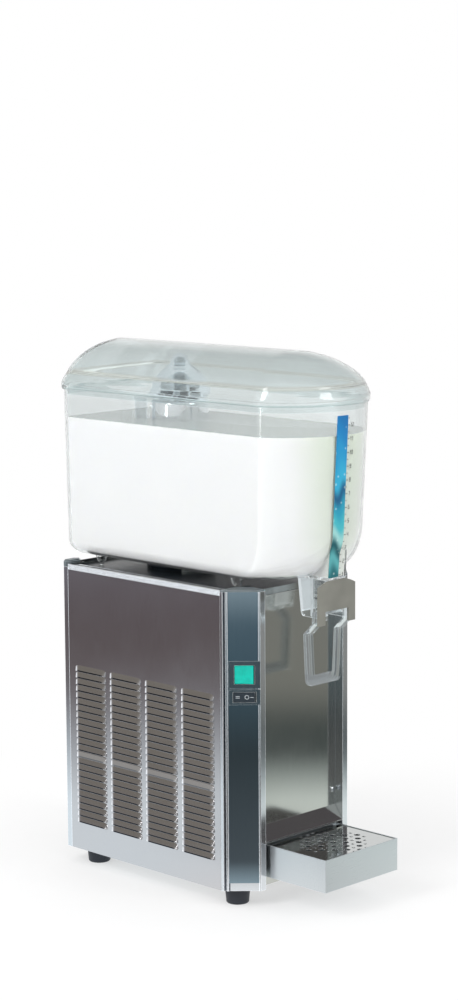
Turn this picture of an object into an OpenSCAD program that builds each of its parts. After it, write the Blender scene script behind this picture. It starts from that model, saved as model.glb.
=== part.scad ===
// Refrigerated juice dispenser with one bowl, an agitator and a push-lever tap.
// X runs across the machine, -Y is the front, Z is up and 0 is the floor.

/* [Case] */
// Width over the side panels
case_w = 220; // [200:1:240]
// Depth from the front columns to the rear panel
case_d = 320; // [310:1:350]
// Height of the case above its feet
case_h = 370; // [360:1:400]
// Height of the rubber feet
foot_h = 20; // [16:1:30]
// Diameter of a foot at its top
foot_d = 31; // [26:1:36]
// Distance of the feet from the sides of the case
foot_inset_x = 28; // [24:1:34]
// Distance of the front feet behind the case front
foot_front = 36; // [30:1:44]
// Distance between the front and rear feet
foot_pitch = 250; // [230:1:255]
// Diameter of the foot screws
foot_screw_d = 6; // [5:0.5:6]
// Thickness of the stainless sheet
sheet_t = 1; // [0.8:0.1:1.4]
// Height of the base pan's upturned walls
pan_wall_h = 18; // [14:1:24]

/* [Columns and rails] */
// Leg of the 45 degree chamfer on the front columns
chamfer = 32; // [28:1:34]
// Flat side face behind the chamfer
column_flat = 4; // [3:0.5:6]
// Width of the flat front face beside the recess
column_lip = 8.5; // [6:0.5:12]
// Depth of the front recess
recess_d = 12.5; // [10:0.5:16]
// Width of the shadow groove on the chamfer
groove_w = 4; // [3:0.5:5]
// Depth of the shadow groove
groove_d = 2.5; // [2:0.25:3]
// Width of the glossy trim strip
trim_w = 37; // [30:0.5:38]
// Thickness of the trim strip
trim_t = 1.2; // [1:0.1:1.5]
// Bare height of column below the trim strip
trim_foot = 10; // [6:1:20]
// Depth of the rear posts along the side
post_d = 12.7; // [10:0.1:16]
// Width of the rear posts along the back
post_w = 26; // [20:1:30]
// Chamfer of the rear posts
post_chamfer = 5; // [3:0.5:7]
// Height of the ribbed rails along the top
rail_h = 7; // [6:0.5:10]
// Width of the ribbed rails
rail_w = 9; // [7:0.5:10]
// Thickness of the front column caps
cap_t = 2; // [1.5:0.25:3]
// Height of the rear post caps above the case
post_cap_h = 4; // [3:0.5:5]

/* [Side louvres] */
// Rows of louvres
louvre_rows = 24; // [20:1:26]
// Row, counted from the top, that stays a closed rib
plain_row = 14; // [10:1:18]
// Distance between rows
louvre_pitch = 8.6; // [7.5:0.1:9]
// Length of one louvre
louvre_len = 56; // [50:0.5:58]
// Columns of louvres
louvre_columns = 4; // [3:1:4]
// Plain strip between columns of louvres
louvre_gap = 8; // [6:0.5:9]
// Plain strip between the panel's front end and the first column
louvre_margin = 10.8; // [8:0.2:13]
// Height of the lowest louvre above the panel's foot
louvre_base = 36; // [30:1:44]
// Height of one louvre
louvre_h = 7; // [5:0.25:7.2]
// How far a louvre stands out of the panel
louvre_out = 2.6; // [2:0.1:3.2]

/* [Drip tray] */
// Width of the tray
tray_w = 130.5; // [110:0.5:134]
// How far the tray stands out in front of the case
tray_reach = 93.5; // [80:0.5:110]
// How far the tray runs into the case front
tray_tuck = 8; // [5:0.5:9]
// Height of the tray's walls
tray_h = 40; // [34:1:42]
// Height of the tray's underside above the floor
tray_z = 34.5; // [32:0.5:37]
// Thickness of the tray's walls
tray_t = 1.2; // [1:0.1:2]
// Thickness of the grille plate
grille_t = 1; // [0.8:0.1:1.5]
// Depth of the grille plate below the tray's rim
grille_drop = 0.8; // [0.5:0.1:2]
// Diagonal distance between the large holes
hole_pitch = 15.5; // [13:0.5:16]
// Diameter of the large holes
hole_d = 7.5; // [6:0.25:8]
// Diameter of the small holes
small_hole_d = 4; // [3:0.25:4.5]
// Height of the fold where the splash guard starts
splash_top = 96.5; // [92:0.5:104]
// Height of the splash guard's lower lip
splash_lip = 79; // [77.5:0.5:84]

/* [Switches] */
// Height of the main switch above the floor
main_switch_z = 288; // [280:1:300]
// Height of the main switch housing
main_switch_h = 33; // [30:0.5:35]
// Height of the small switch above the floor
mode_switch_z = 260.5; // [250:0.5:262]
// Height of the small switch housing
mode_switch_h = 18.6; // [17:0.2:20]
// Width of the switch housings along the chamfer
switch_w = 38; // [35:0.5:38]
// Width of the main rocker
main_rocker_w = 24.3; // [22:0.1:26]
// Height of the main rocker
main_rocker_h = 22.4; // [20:0.1:24]
// Width of the small rocker
mode_rocker_w = 28; // [25:0.5:29]
// Height of the small rocker
mode_rocker_h = 12.4; // [11:0.1:13]
// Thickness of a housing's frame
bezel_t = 2.2; // [1.8:0.1:3]
// Depth of a housing behind the chamfer
switch_depth = 12; // [11:0.5:13]
// Tilt of a rocker at either end of its travel
rocker_tilt = 5; // [3:0.5:7]

/* [Bowl] */
// Width of the bowl at its rim
bowl_w = 179; // [170:1:190]
// Length of the bowl at its rim, front to back
bowl_len = 411.5; // [400:0.5:420]
// Depth of the bowed front at the rim
bowl_bow = 58.8; // [50:0.2:64]
// How far the bowl overhangs the rear panel
bowl_overhang = 21.5; // [16:0.5:26]
// Gap between the top of the case and the underside of the bowl
bowl_gap = 6.5; // [5.5:0.5:10]
// Height of the bowl
bowl_h = 215.5; // [200:0.5:230]
// Wall thickness of the bowl
bowl_t = 3; // [2.5:0.1:3.5]
// How much narrower each side is at the foot of the bowl
bowl_taper = 5.5; // [3:0.5:8]
// How far the front leans back at its foot
bowl_front_taper = 11; // [6:0.5:14]
// Radius of the upright rear corners
bowl_corner_r = 14; // [10:0.5:20]
// Radius round the foot of the sides and the rear
bowl_foot_r = 19; // [14:0.5:24]
// Radius round the foot of the front
bowl_front_r = 60; // [50:1:66]
// Half the width of the nose
nose_half_w = 16.5; // [14:0.5:18]
// How far the foot of the nose stands behind the bowl's foremost point
nose_back = 17; // [15:0.5:19]
// How far the nose leans forward over its height
nose_lean = 15; // [10:0.5:16]
// Width of the lugs under the bowl
lug_w = 17; // [14:0.5:20]
// Thickness of the lugs
lug_t = 3; // [2.5:0.25:4]

/* [Lid] */
// How far the lid's bead stands out beyond the bowl
lid_bead = 2.5; // [2:0.25:4]
// Height of the bead's band above the bowl's rim
lid_band_h = 19; // [16:0.5:22]
// How far the band draws in from the bead to the vault
lid_band_in = 6; // [4:0.5:7]
// Rise of the vault above the band
lid_rise = 39; // [32:0.5:44]
// Wall thickness of the lid
lid_t = 2.6; // [2.2:0.1:3]
// How far the lid's skirt hangs into the bowl
lid_skirt = 9; // [6:0.5:12]

/* [Tap] */
// Height of the tap skirt
tap_skirt_h = 48; // [46:0.5:52]
// Wall thickness of the tap skirt
tap_wall = 2.2; // [2:0.1:2.6]
// Height of the lever's axle above the foot of the skirt
axle_up = 8; // [7:0.5:10]
// Diameter of the lever's axle
axle_d = 5.5; // [5:0.1:6]
// Distance from the nose's foot to the axle, towards the rear
axle_back = 8.2; // [8:0.1:10]
// Distance from the axle to the valve tube's centre
tube_back = 21; // [20.5:0.5:23]
// Outer radius of the valve tube
tube_r = 10.5; // [10:0.25:11.5]
// Radius of the valve chamber
chamber_r = 8.4; // [7.5:0.1:8.8]
// Radius of the outlet
outlet_r = 5.5; // [5:0.1:6]
// Height from the foot of the valve tube to the valve seat
seat_up = 20; // [19:0.5:22]
// Half the width across the lever's arms
lever_half_w = 33.5; // [31:0.5:36]
// Width of a lever arm
lever_arm_w = 12.7; // [10:0.1:12.8]
// Thickness of the lever
lever_t = 4; // [3:0.25:4]
// Length of the lever's paddle below the bend
lever_drop = 63; // [55:1:72]
// Height of the lever's bottom bar
lever_bar_h = 12; // [9:0.5:16]
// How far the paddle lies behind the axle
paddle_back = 14; // [10:0.5:18]
// Swing of the lever
lever_swing = 15; // [10:1:15]
// Half the width of the tap plate
plate_half_w = 32.6; // [30:0.2:34]
// Thickness of the tap plate
plate_t = 2.6; // [2:0.1:3]
// Height of the arched top of the plate above its shoulders
plate_arch = 8; // [5:0.5:10]
// Wire diameter of the tap spring
spring_wire = 1; // [0.8:0.1:1.2]
// Turns of the tap spring
spring_turns = 5; // [4:1:5]

/* [Cooling] */
// Radius of the cooling cylinder
cooler_r = 36; // [33:0.5:38]
// Height of the cooling cylinder above the case
cooler_h = 208; // [200:1:210]
// Distance of the cooling cylinder in front of the rear panel
cooler_back = 108; // [100:1:118]
// Radius of the compressor's shell
compressor_r = 60; // [52:1:62]
// Height of the compressor's shell
compressor_h = 150; // [130:1:165]
// Length of the condenser
condenser_l = 150; // [130:1:160]
// Height of the condenser
condenser_h = 160; // [140:1:170]
// Thickness of the condenser
condenser_t = 22; // [20:1:26]
// Fins on the condenser
fins = 22; // [16:1:26]
// Radius of the fan
fan_r = 60; // [50:1:62]
// Blades on the fan
fan_blade_count = 5; // [4:1:6]
// Diameter of the refrigerant pipes
pipe_d = 8; // [6:0.5:8]
// Turns of the coil in the cooling cylinder
coil_turns = 7; // [5:1:8]
// Radius of the agitator's cap
cap_r = 38.5; // [36:0.5:40]
// Reach of the agitator's blade from its axis
blade_reach = 57; // [52:0.5:60]
// Length of the agitator's blade below its arm
blade_drop = 165; // [120:1:170]

/* [Fits] */
// Gap between pieces that only lie beside each other
gap = 0.3; // [0.25:0.05:0.4]
// Radial play of a shaft in its bore
shaft_play = 0.05; // [0.03:0.01:0.08]

/* [Hidden] */
$fn = 48;
e = 0.5;

// Case planes, with the origin under the middle of the whole machine
rear_reach = bowl_overhang + lid_bead;
front_y = (tray_reach - case_d - rear_reach) / 2;
rear_y = front_y + case_d;
half_w = case_w / 2;
case_bottom = foot_h;
case_top = foot_h + case_h;
panel_front_y = front_y + chamfer + column_flat;
recess_half_w = half_w - chamfer - column_lip;
recess_y = front_y + recess_d;
inside_y = rear_y - sheet_t;
panel_fold = 8;
pan_half = half_w - panel_fold - gap;

chamfer_len = chamfer * sqrt(2);
// A point on the left chamfer: s forwards along it from its rear edge, d inwards
function on_chamfer(s, d) = [-half_w, front_y + chamfer] + s * [1, -1] / sqrt(2) + d * [1, 1] / sqrt(2);

// Levels of the deck, the bowl and the lid
deck_z = case_top - 5;
bowl_z = case_top + bowl_gap;
rim_z = bowl_z + bowl_h;
bowl_rear_y = rear_y + bowl_overhang;
bowl_front_y = bowl_rear_y - bowl_len;
kink_y = bowl_front_y + bowl_bow;
band_z = rim_z + lid_band_h;

// The cooling cylinder's axis carries the drive and the agitator
axis_y = rear_y - cooler_back;
cooler_top = case_top + cooler_h;
bowl_hole_r = cooler_r + 5 + gap;
magnet_r = 26;
magnet_h = 6;
magnet_gap = 1;
shaft_r = 4;
pin_r = 3;
arm_angle = 135;
hub_z = cooler_top + 3;
hub_bore_h = magnet_h + 6;

// The tap's lines
nose_foot_y = bowl_front_y + nose_back;
nose_z = bowl_z + 3;
skirt_z = nose_z - tap_skirt_h;
plate_back_y = nose_foot_y + plate_t;
axle_y = nose_foot_y + axle_back;
axle_z = skirt_z + axle_up;
tube_y = axle_y + tube_back;
seat_z = skirt_z + seat_up;
finger_r = 2;
stem_r = 1.8;
collar_r = outlet_r - 0.9;
collar_h = 3;
groove_half_h = finger_r + gap;
finger_reach = tube_back - stem_r - finger_r - gap;
plunger_lift = finger_reach * lever_swing * PI / 180;
head_z = seat_z + 3.2;
head_h = 4;
spring_z = head_z + head_h;
guide_h = 3;
guide_z = nose_z - guide_h - 1;
spring_len = guide_z - spring_z;
spring_r = chamber_r - 2.6;

// Switch frame on the left chamfer: local x runs forwards along it, local -y points out of it
chamfer_mid = [-half_w + chamfer / 2, front_y + chamfer / 2];
switch_x = 3.6;

// Cooling unit
compressor_z = case_bottom + sheet_t + 8;
condenser_x = -pan_half + sheet_t + gap;
condenser_y = panel_front_y + 8;
condenser_z = case_bottom + sheet_t;
fan_x = condenser_x + condenser_t + gap;
fan_y = condenser_y + condenser_l / 2;
fan_z = condenser_z + condenser_h / 2 + 4;
shroud_depth = 20;
fan_motor_x = fan_x + shroud_depth;
spider_t = 3;
drier_y = condenser_y + condenser_l + 26;
tube_rows = 6;
tube_pitch = (condenser_h - 20) / tube_rows;
pipe_x = condenser_x + condenser_t / 2;
thermostat_x = 50;
thermostat_z = deck_z - 40;
motor_z = deck_z - 70;
motor_r = 30;
motor_h = 44;
bracket_z = motor_z + motor_h;

function unit(v) = v / norm(v);
function left_of(v) = [-v[1], v[0]];
function corner_shift(a, b, c, t) =
    let(n1 = left_of(unit(b - a)), n2 = left_of(unit(c - b))) t * (n1 + n2) / (1 + n1 * n2);
// Outline of a folded sheet whose outer face follows the points and whose thickness lies to their left
function sheet_outline(p, t) =
    let(last = len(p) - 1)
    concat(p, [for (i = [last:-1:0])
        i == 0 ? p[0] + t * left_of(unit(p[1] - p[0]))
        : i == last ? p[last] + t * left_of(unit(p[last] - p[last - 1]))
        : p[i] + corner_shift(p[i - 1], p[i], p[i + 1], t)]);
// Points of an arc about a centre
function arc(centre, r, from, to, steps) =
    [for (i = [0:steps]) let(a = from + (to - from) * i / steps) centre + r * [cos(a), sin(a)]];

// A profile given in the (y, z) plane, carried from x1 to x2
module across(x1, x2) {
    translate([x1, 0, 0]) rotate([90, 0, 90]) linear_extrude(x2 - x1) children();
}
// A profile given in the (x, z) plane, carried from y1 to y2
module along(y1, y2) {
    translate([0, y2, 0]) rotate([90, 0, 0]) linear_extrude(y2 - y1) children();
}
// A profile given in plan, carried from z1 to z2
module upright(z1, z2) {
    translate([0, 0, z1]) linear_extrude(z2 - z1) children();
}
module block(low, high) {
    translate(low) cube(high - low);
}
module both_sides() {
    children();
    mirror([1, 0, 0]) children();
}
module pipe_run(points, r) {
    for (i = [0:len(points) - 2]) {
        step = points[i + 1] - points[i];
        turn = atan2(step[1], step[0]);
        lean = atan2(norm([step[0], step[1]]), step[2]);
        translate(points[i]) rotate([0, lean, turn]) cylinder(h = norm(step), r = r, $fn = 24);
        if (i > 0) translate(points[i]) sphere(r = r * 1.02, $fn = 24);
    }
}

// Base, feet and fasteners
foot_places = [for (x = [-1, 1], y = [0, 1])
    [x * (half_w - foot_inset_x), front_y + foot_front + y * foot_pitch]];
foot_bore_r = foot_screw_d / 2 + gap;
foot_recess_r = foot_screw_d + 0.8;
foot_recess_h = foot_h / 2;
pan_top = case_bottom + sheet_t;

pan_front_y = recess_y + 11.5;
pan_rear_y = rear_y - post_d - gap;
air_slot_l = 45;
air_slot_w = 5;
air_slot_pitch = 14;
// Floor in plan: it runs forwards inside the columns, as far as the front feet need
pan_corner = on_chamfer(chamfer_len / 2, 5);
pan_line = pan_corner[0] + pan_corner[1];
pan_inner_half = pan_half - 1;
module base_pan() {
    color("#b4b8ba") difference() {
        union() {
            upright(case_bottom, pan_top)
                polygon([[-pan_half, panel_front_y + gap], [-pan_inner_half, panel_front_y + gap],
                [-pan_inner_half, pan_line + pan_inner_half], [pan_line - pan_front_y, pan_front_y],
                [pan_front_y - pan_line, pan_front_y], [pan_inner_half, pan_line + pan_inner_half],
                [pan_inner_half, panel_front_y + gap], [pan_half, panel_front_y + gap],
                [pan_half, pan_rear_y], [-pan_half, pan_rear_y]]);
            both_sides() block([pan_half - sheet_t, panel_front_y + gap, case_bottom],
                [pan_half, pan_rear_y, pan_top + pan_wall_h]);
            block([-pan_half, pan_rear_y - sheet_t, case_bottom],
                [pan_half, pan_rear_y, pan_top + pan_wall_h]);
        }
        for (p = foot_places) translate([p[0], p[1], case_bottom - e])
            cylinder(h = sheet_t + 2 * e, r = foot_bore_r);
        // Air slots in the floor beside the condenser
        for (i = [0:5]) let(y = condenser_y + 8 + i * air_slot_pitch)
            block([-25, y, case_bottom - e], [air_slot_l - 25, y + air_slot_w, pan_top + e]);
    }
}

module feet() {
    color("#20262c") for (p = foot_places) translate([p[0], p[1], 0]) difference() {
        rotate_extrude() polygon([[0, 0], [foot_d / 2 - 2.5, 0], [foot_d / 2 - 1.5, 1],
            [foot_d / 2, foot_h - 3],
            [foot_d / 2, foot_h], [0, foot_h]]);
        translate([0, 0, -e]) cylinder(h = foot_h + 2 * e, r = foot_bore_r);
        translate([0, 0, -e]) cylinder(h = foot_recess_h + e, r = foot_recess_r);
    }
}

module foot_screws() {
    color("#c8ccd0") for (p = foot_places) translate([p[0], p[1], foot_recess_h]) {
        translate([0, 0, -3]) cylinder(h = 3, r = foot_screw_d * 0.85);
        cylinder(h = foot_h - foot_recess_h + sheet_t + 8, r = foot_screw_d / 2);
    }
}

module foot_nuts() {
    color("#c8ccd0") for (p = foot_places) translate([p[0], p[1], pan_top]) difference() {
        cylinder(h = 5, r = foot_screw_d * 0.96, $fn = 6);
        translate([0, 0, -e]) cylinder(h = 5 + 2 * e, r = foot_screw_d / 2 + shaft_play);
    }
}

// Front columns: a folded sheet with a shadow groove and a seat for the trim strip
trim_start = groove_w + (chamfer_len - groove_w - trim_w) / 2;
column_fold = concat(
    [[-half_w + 9, panel_front_y], [-half_w, panel_front_y]],
    [for (q = [[0, 0], [0.6, groove_d], [groove_w - 0.6, groove_d], [groove_w, 0],
        [trim_start - 0.2, 0], [trim_start, trim_t], [trim_start + trim_w, trim_t],
        [trim_start + trim_w + 0.2, 0], [chamfer_len, 0]]) on_chamfer(q[0], q[1])],
    [[-recess_half_w, front_y], [-recess_half_w, recess_y + 10]]);
column_top = case_top - cap_t;

module switch_frame(z) {
    translate([chamfer_mid[0], chamfer_mid[1], z]) rotate([0, 0, -45]) children();
}
module switch_cutouts() {
    for (s = [[main_switch_z, main_switch_h], [mode_switch_z, mode_switch_h]])
        switch_frame(s[0]) block([switch_x - switch_w / 2 + 3, -4, -s[1] / 2 + 2],
            [switch_x + switch_w / 2 - 3, 6, s[1] / 2 - 2]);
}
module front_column() {
    upright(case_bottom, column_top) polygon(sheet_outline(column_fold, sheet_t));
}
module front_column_left() {
    color("#c3c8cc") difference() {
        front_column();
        switch_cutouts();
    }
}
module front_column_right() {
    color("#c3c8cc") mirror([1, 0, 0]) front_column();
}

module column_trim() {
    upright(case_bottom + trim_foot, column_top)
        polygon([on_chamfer(trim_start + gap, 0), on_chamfer(trim_start + trim_w - gap, 0),
            on_chamfer(trim_start + trim_w - gap, trim_t), on_chamfer(trim_start + gap, trim_t)]);
}
module column_trim_left() {
    color("#46586a") difference() {
        column_trim();
        switch_cutouts();
    }
}
module column_trim_right() {
    color("#46586a") mirror([1, 0, 0]) column_trim();
}

module column_caps() {
    color("#84898c") both_sides() upright(column_top, case_top)
        polygon([[-half_w, panel_front_y], on_chamfer(0, 0), on_chamfer(chamfer_len, 0),
            [-recess_half_w, front_y], [-recess_half_w, recess_y + 10],
            [-recess_half_w - 12, panel_front_y]]);
}

// Rear posts: chamfered folded corners that carry octagonal caps
post_flange = 14;
post_fold = [[-half_w + 9, rear_y - post_d], [-half_w, rear_y - post_d], [-half_w, rear_y - post_chamfer],
    [-half_w + post_chamfer, rear_y], [-half_w + post_w, rear_y],
        [-half_w + post_w, rear_y - sheet_t - gap],
    [-half_w + post_w + post_flange, rear_y - sheet_t - gap]];
post_top = case_top - 4;
rear_half_w = half_w - post_w - gap;
rear_screw_r = 1.8;
rear_screw_places = [for (x = [-1, 1], z = [0, 1, 2]) [x * (rear_half_w - 6),
    case_bottom + 20 + z * (case_h - 60) / 2]];
module rear_screw_holes(r) {
    for (p = rear_screw_places) translate([p[0], rear_y + e, p[1]]) rotate([90, 0, 0])
        cylinder(h = 2 * sheet_t + gap + 2 * e, r = r);
}
module rear_post() {
    points = [for (i = [len(post_fold) - 1:-1:0]) post_fold[i]];
    difference() {
        upright(case_bottom, post_top) polygon(sheet_outline(points, sheet_t));
        rear_screw_holes(rear_screw_r + shaft_play);
        // The flange ends under the deck
        block([-half_w + post_w - gap, rear_y - 5, deck_z - sheet_t - gap],
            [-half_w + post_w + post_flange + e, rear_y - sheet_t, post_top + e]);
    }
}
module rear_post_left() {
    color("#c3c8cc") rear_post();
}
module rear_post_right() {
    color("#c3c8cc") mirror([1, 0, 0]) rear_post();
}
module post_caps() {
    cap_c = post_chamfer;
    x1 = -half_w;
    x2 = -half_w + post_w;
    y1 = rear_y - post_d;
    y2 = rear_y;
    color("#84898c") both_sides() {
        upright(post_top, case_top + post_cap_h - 1.5)
            polygon([[x1, y1 + cap_c], [x1 + cap_c, y1], [x2 - cap_c, y1],
            [x2, y1 + cap_c], [x2, y2 - cap_c], [x2 - cap_c, y2], [x1 + cap_c, y2], [x1, y2 - cap_c]]);
        upright(case_top + post_cap_h - 1.5, case_top + post_cap_h) offset(delta = -1.2)
            polygon([[x1, y1 + cap_c], [x1 + cap_c, y1], [x2 - cap_c, y1],
            [x2, y1 + cap_c], [x2, y2 - cap_c], [x2 - cap_c, y2], [x1 + cap_c, y2], [x1, y2 - cap_c]]);
    }
}

// Ribbed rails that hold the tops of the side panels
rail_z = case_top - rail_h;
rib_pitch = (rail_h - 1) / 4;
module side_rail() {
    along(panel_front_y, rear_y - post_d) polygon(concat(
        [[-half_w + rail_w, case_top - 2], [-half_w + rail_w, case_top], [-half_w + 0.5, case_top]],
        [for (i = [0:3]) each [[-half_w, case_top - 0.5 - i * rib_pitch],
            [-half_w, case_top - i * rib_pitch - rib_pitch * 0.6],
            [-half_w + 0.6, case_top - i * rib_pitch - rib_pitch * 0.8],
            [-half_w + 0.6, case_top - 0.5 - (i + 0.9) * rib_pitch]]],
        [[-half_w, rail_z + 0.4], [-half_w, rail_z], [-half_w + 4, rail_z], [-half_w + 4, case_top - 2]]));
}
module side_rails() {
    color("#b9c0c4") both_sides() side_rail();
}

// Side panels: a shallow folded tray with rows of pressed louvres that open downwards
panel_rear_y = rear_y - post_d;
louvre_arc = 4;
function louvre_profile(out, high, back) = concat([[back, 0]],
    [for (i = [0:louvre_arc]) let(a = 90 * i / louvre_arc) [-out * cos(a), high * sin(a)]], [[back, high]]);
function louvre_y(c) = panel_front_y + louvre_margin + c * (louvre_len + louvre_gap);
function louvre_z(r) = case_bottom + louvre_base + (louvre_rows - 1 - r) * louvre_pitch;
module louvre_bars(out, high, back, inset) {
    for (c = [0:louvre_columns - 1], r = [0:louvre_rows - 1])
        if (r != plain_row - 1 || inset == 0)
            translate([-half_w, 0, louvre_z(r)])
                along(louvre_y(c) + inset, louvre_y(c) + louvre_len - inset)
                polygon(louvre_profile(out, high, back));
}
module side_panel() {
    difference() {
        union() {
            block([-half_w, panel_front_y + gap, case_bottom],
                [-half_w + panel_fold, panel_rear_y - gap, rail_z - gap]);
            louvre_bars(louvre_out, louvre_h, sheet_t, 0);
        }
        block([-half_w + sheet_t, panel_front_y + gap + sheet_t, case_bottom + sheet_t],
            [-half_w + panel_fold - sheet_t, panel_rear_y - gap - sheet_t, rail_z - gap - sheet_t]);
        block([-half_w + sheet_t + 2, panel_front_y + gap + panel_fold, case_bottom + panel_fold],
            [-half_w + panel_fold + e, panel_rear_y - gap - panel_fold, rail_z - gap - panel_fold]);
        translate([0, 0, -0.01]) louvre_bars(louvre_out - 0.8, louvre_h - 1, sheet_t + 0.5, 0.8);
    }
}
module side_panel_left() {
    color("#8d8a8e") side_panel();
}
module side_panel_right() {
    color("#8d8a8e") mirror([1, 0, 0]) side_panel();
}

// Rear panel with two banks of vent slots
gland_x = 48;
gland_z = case_bottom + 50;
gland_r = 8;
vent_x = 36;
vent_half_l = 27;
vent_z = case_bottom + 100;
vent_pitch = 11;
vent_h = 4;
vent_rows = 18;
module rear_panel() {
    color("#b4b8ba") difference() {
        block([-rear_half_w, rear_y - sheet_t, case_bottom], [rear_half_w, rear_y, deck_z - 1]);
        for (x = [-1, 1], r = [0:vent_rows - 1])
            block([x * vent_x - vent_half_l, rear_y - sheet_t - e, vent_z + r * vent_pitch],
                [x * vent_x + vent_half_l, rear_y + e, vent_z + r * vent_pitch + vent_h]);
        translate([gland_x, rear_y + e, gland_z]) rotate([90, 0, 0])
            cylinder(h = sheet_t + 2 * e, r = gland_r + shaft_play);
        rear_screw_holes(rear_screw_r + 0.2);
        // Hole over the thermostat's adjusting screw
        translate([thermostat_x, rear_y + e, thermostat_z]) rotate([90, 0, 0])
            cylinder(h = sheet_t + 2 * e, r = 3);
    }
}
module pan_head_screw(shank) {
    rotate_extrude() polygon([[0, -shank], [rear_screw_r, -shank], [rear_screw_r, 0], [3.6, 0],
        [3.4, 1.4], [2.2, 2.2], [0, 2.4]]);
}
module rear_screws() {
    color("#c8ccd0") for (p = rear_screw_places)
        translate([p[0], rear_y, p[1]]) rotate([-90, 0, 0]) pan_head_screw(6);
}
module cable_gland() {
    color("#22272b") translate([gland_x, rear_y, gland_z]) rotate([-90, 0, 0]) difference() {
        union() {
            translate([0, 0, -sheet_t - 6]) cylinder(h = sheet_t + 14, r = gland_r);
            cylinder(h = 4, r = gland_r + 4, $fn = 6);
            translate([0, 0, -sheet_t - 4]) cylinder(h = 4, r = gland_r + 4, $fn = 6);
        }
        translate([0, 0, -sheet_t - 7]) cylinder(h = 20, r = gland_r - 3);
    }
}

// Recessed front panel with the splash guard folded into it
front_fold = [[recess_y, case_bottom], [recess_y, splash_lip - 4], [front_y + 1, splash_lip - 1.5],
    [front_y, splash_lip], [recess_y, splash_top], [recess_y, deck_z - 6]];
bracket_x = 40;
bracket_half_w = 6;
front_screw_places = [for (x = [-1, 1]) [x * (recess_half_w - 6), splash_top + 20]];
module front_panel() {
    color("#a3a4a0") difference() {
        across(-recess_half_w + gap, recess_half_w - gap)
            polygon(sheet_outline([for (i = [len(front_fold) - 1:-1:0]) front_fold[i]], sheet_t));
        for (p = front_screw_places) translate([p[0], recess_y - e, p[1]]) rotate([-90, 0, 0])
            cylinder(h = sheet_t + 2 * e, r = 2);
        // Slots for the tray brackets
        for (x = [-1, 1])
            block([x * bracket_x - bracket_half_w - gap, recess_y - e, tray_z - 8.6],
                [x * bracket_x + bracket_half_w + gap, recess_y + sheet_t + e, tray_z - gap]);
    }
}
module front_screws() {
    color("#d0d4d8") for (p = front_screw_places)
        translate([p[0], recess_y, p[1]]) rotate([90, 0, 0]) pan_head_screw(6);
}

// Tray brackets: wedge-shaped arms hooked through the front panel
bracket_reach = 22;
bracket_h = 8;
module tray_brackets() {
    color("#a3a8aa") for (x = [-1, 1])
        across(x * bracket_x - bracket_half_w, x * bracket_x + bracket_half_w)
        polygon([[recess_y + 6, tray_z - bracket_h], [recess_y + 6, tray_z - gap - 1],
            [recess_y + sheet_t + gap, tray_z - gap - 1],
            [recess_y + sheet_t + gap, tray_z - gap], [front_y - bracket_reach, tray_z - gap],
            [front_y - bracket_reach, tray_z - 2], [front_y, tray_z - bracket_h]]);
}

// Deck under the bowl: a shallow tray with a raised ring for the cooling cylinder
ring_r = cooler_r + 9;
ring_h = 4;
deck_lip = 0.5;
deck_drop = 6;
deck_tongue_half = recess_half_w - 12;
deck_edge = half_w - rail_w - gap;
deck_front_y = recess_y + sheet_t + gap;
module top_deck() {
    color("#4a5052") difference() {
        union() {
            block([-deck_edge, panel_front_y + gap, deck_z - sheet_t],
                [deck_edge, rear_y - post_d - gap, case_top - deck_lip]);
            block([-deck_tongue_half, deck_front_y, deck_z - deck_drop],
                [deck_tongue_half, panel_front_y + 2, deck_z + 2]);
            block([-rear_half_w, rear_y - post_d - 1, deck_z - sheet_t],
                [rear_half_w, rear_y, case_top - deck_lip]);
        }
        block([-deck_edge + sheet_t, panel_front_y + gap + sheet_t, deck_z],
            [deck_edge - sheet_t, rear_y - post_d - gap - sheet_t, case_top]);
        block([-deck_tongue_half + sheet_t, deck_front_y + sheet_t, deck_z],
            [deck_tongue_half - sheet_t, panel_front_y + 4, case_top]);
        block([-deck_tongue_half - e, deck_front_y + sheet_t, deck_z - deck_drop - e],
            [deck_tongue_half + e, panel_front_y + gap, deck_z - sheet_t]);
        block([-rear_half_w + sheet_t, rear_y - post_d - 3, deck_z],
            [rear_half_w - sheet_t, rear_y - sheet_t, case_top]);
        translate([0, axis_y, deck_z - 10]) cylinder(h = 30, r = cooler_r + 1 + gap);
    }
    color("#4a5052") translate([0, axis_y, deck_z - e]) difference() {
        cylinder(h = e + ring_h, r = ring_r);
        translate([0, 0, -e]) cylinder(h = 10, r = cooler_r + 1 + gap);
    }
}

module bowl_seal() {
    color("#3b3f42") translate([0, axis_y, 0]) rotate_extrude() polygon([
        [cooler_r + shaft_play, deck_z + ring_h], [ring_r, deck_z + ring_h], [ring_r, deck_z + 6],
        [bowl_hole_r - gap, deck_z + 7], [bowl_hole_r - gap, bowl_z + bowl_t],
            [cooler_r + 2, bowl_z + bowl_t + 5],
        [cooler_r + shaft_play, bowl_z + bowl_t + 5]]);
}

module cooling_cylinder() {
    color("#d6dadc") translate([0, axis_y, 0]) difference() {
        union() {
            rotate_extrude() polygon(concat([[0, deck_z - 8], [cooler_r + 8, deck_z - 8],
                [cooler_r + 8, deck_z - sheet_t],
                [cooler_r + 1, deck_z - sheet_t], [cooler_r + 1, deck_z + 3.7], [cooler_r, deck_z + 3.7]],
                [for (a = [0:15:90]) [cooler_r - 4 + 4 * cos(a), cooler_top - 4 + 4 * sin(a)]],
                    [[0, cooler_top]]));
            translate([0, 0, cooler_top - e])
                cylinder(h = e + hub_z - cooler_top + hub_bore_h - gap, r = pin_r);
        }
        translate([0, 0, deck_z - 8 - e])
            cylinder(h = cooler_top - deck_z + 8 - 1.5 + e, r = cooler_r - 1.5);
    }
}

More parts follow.
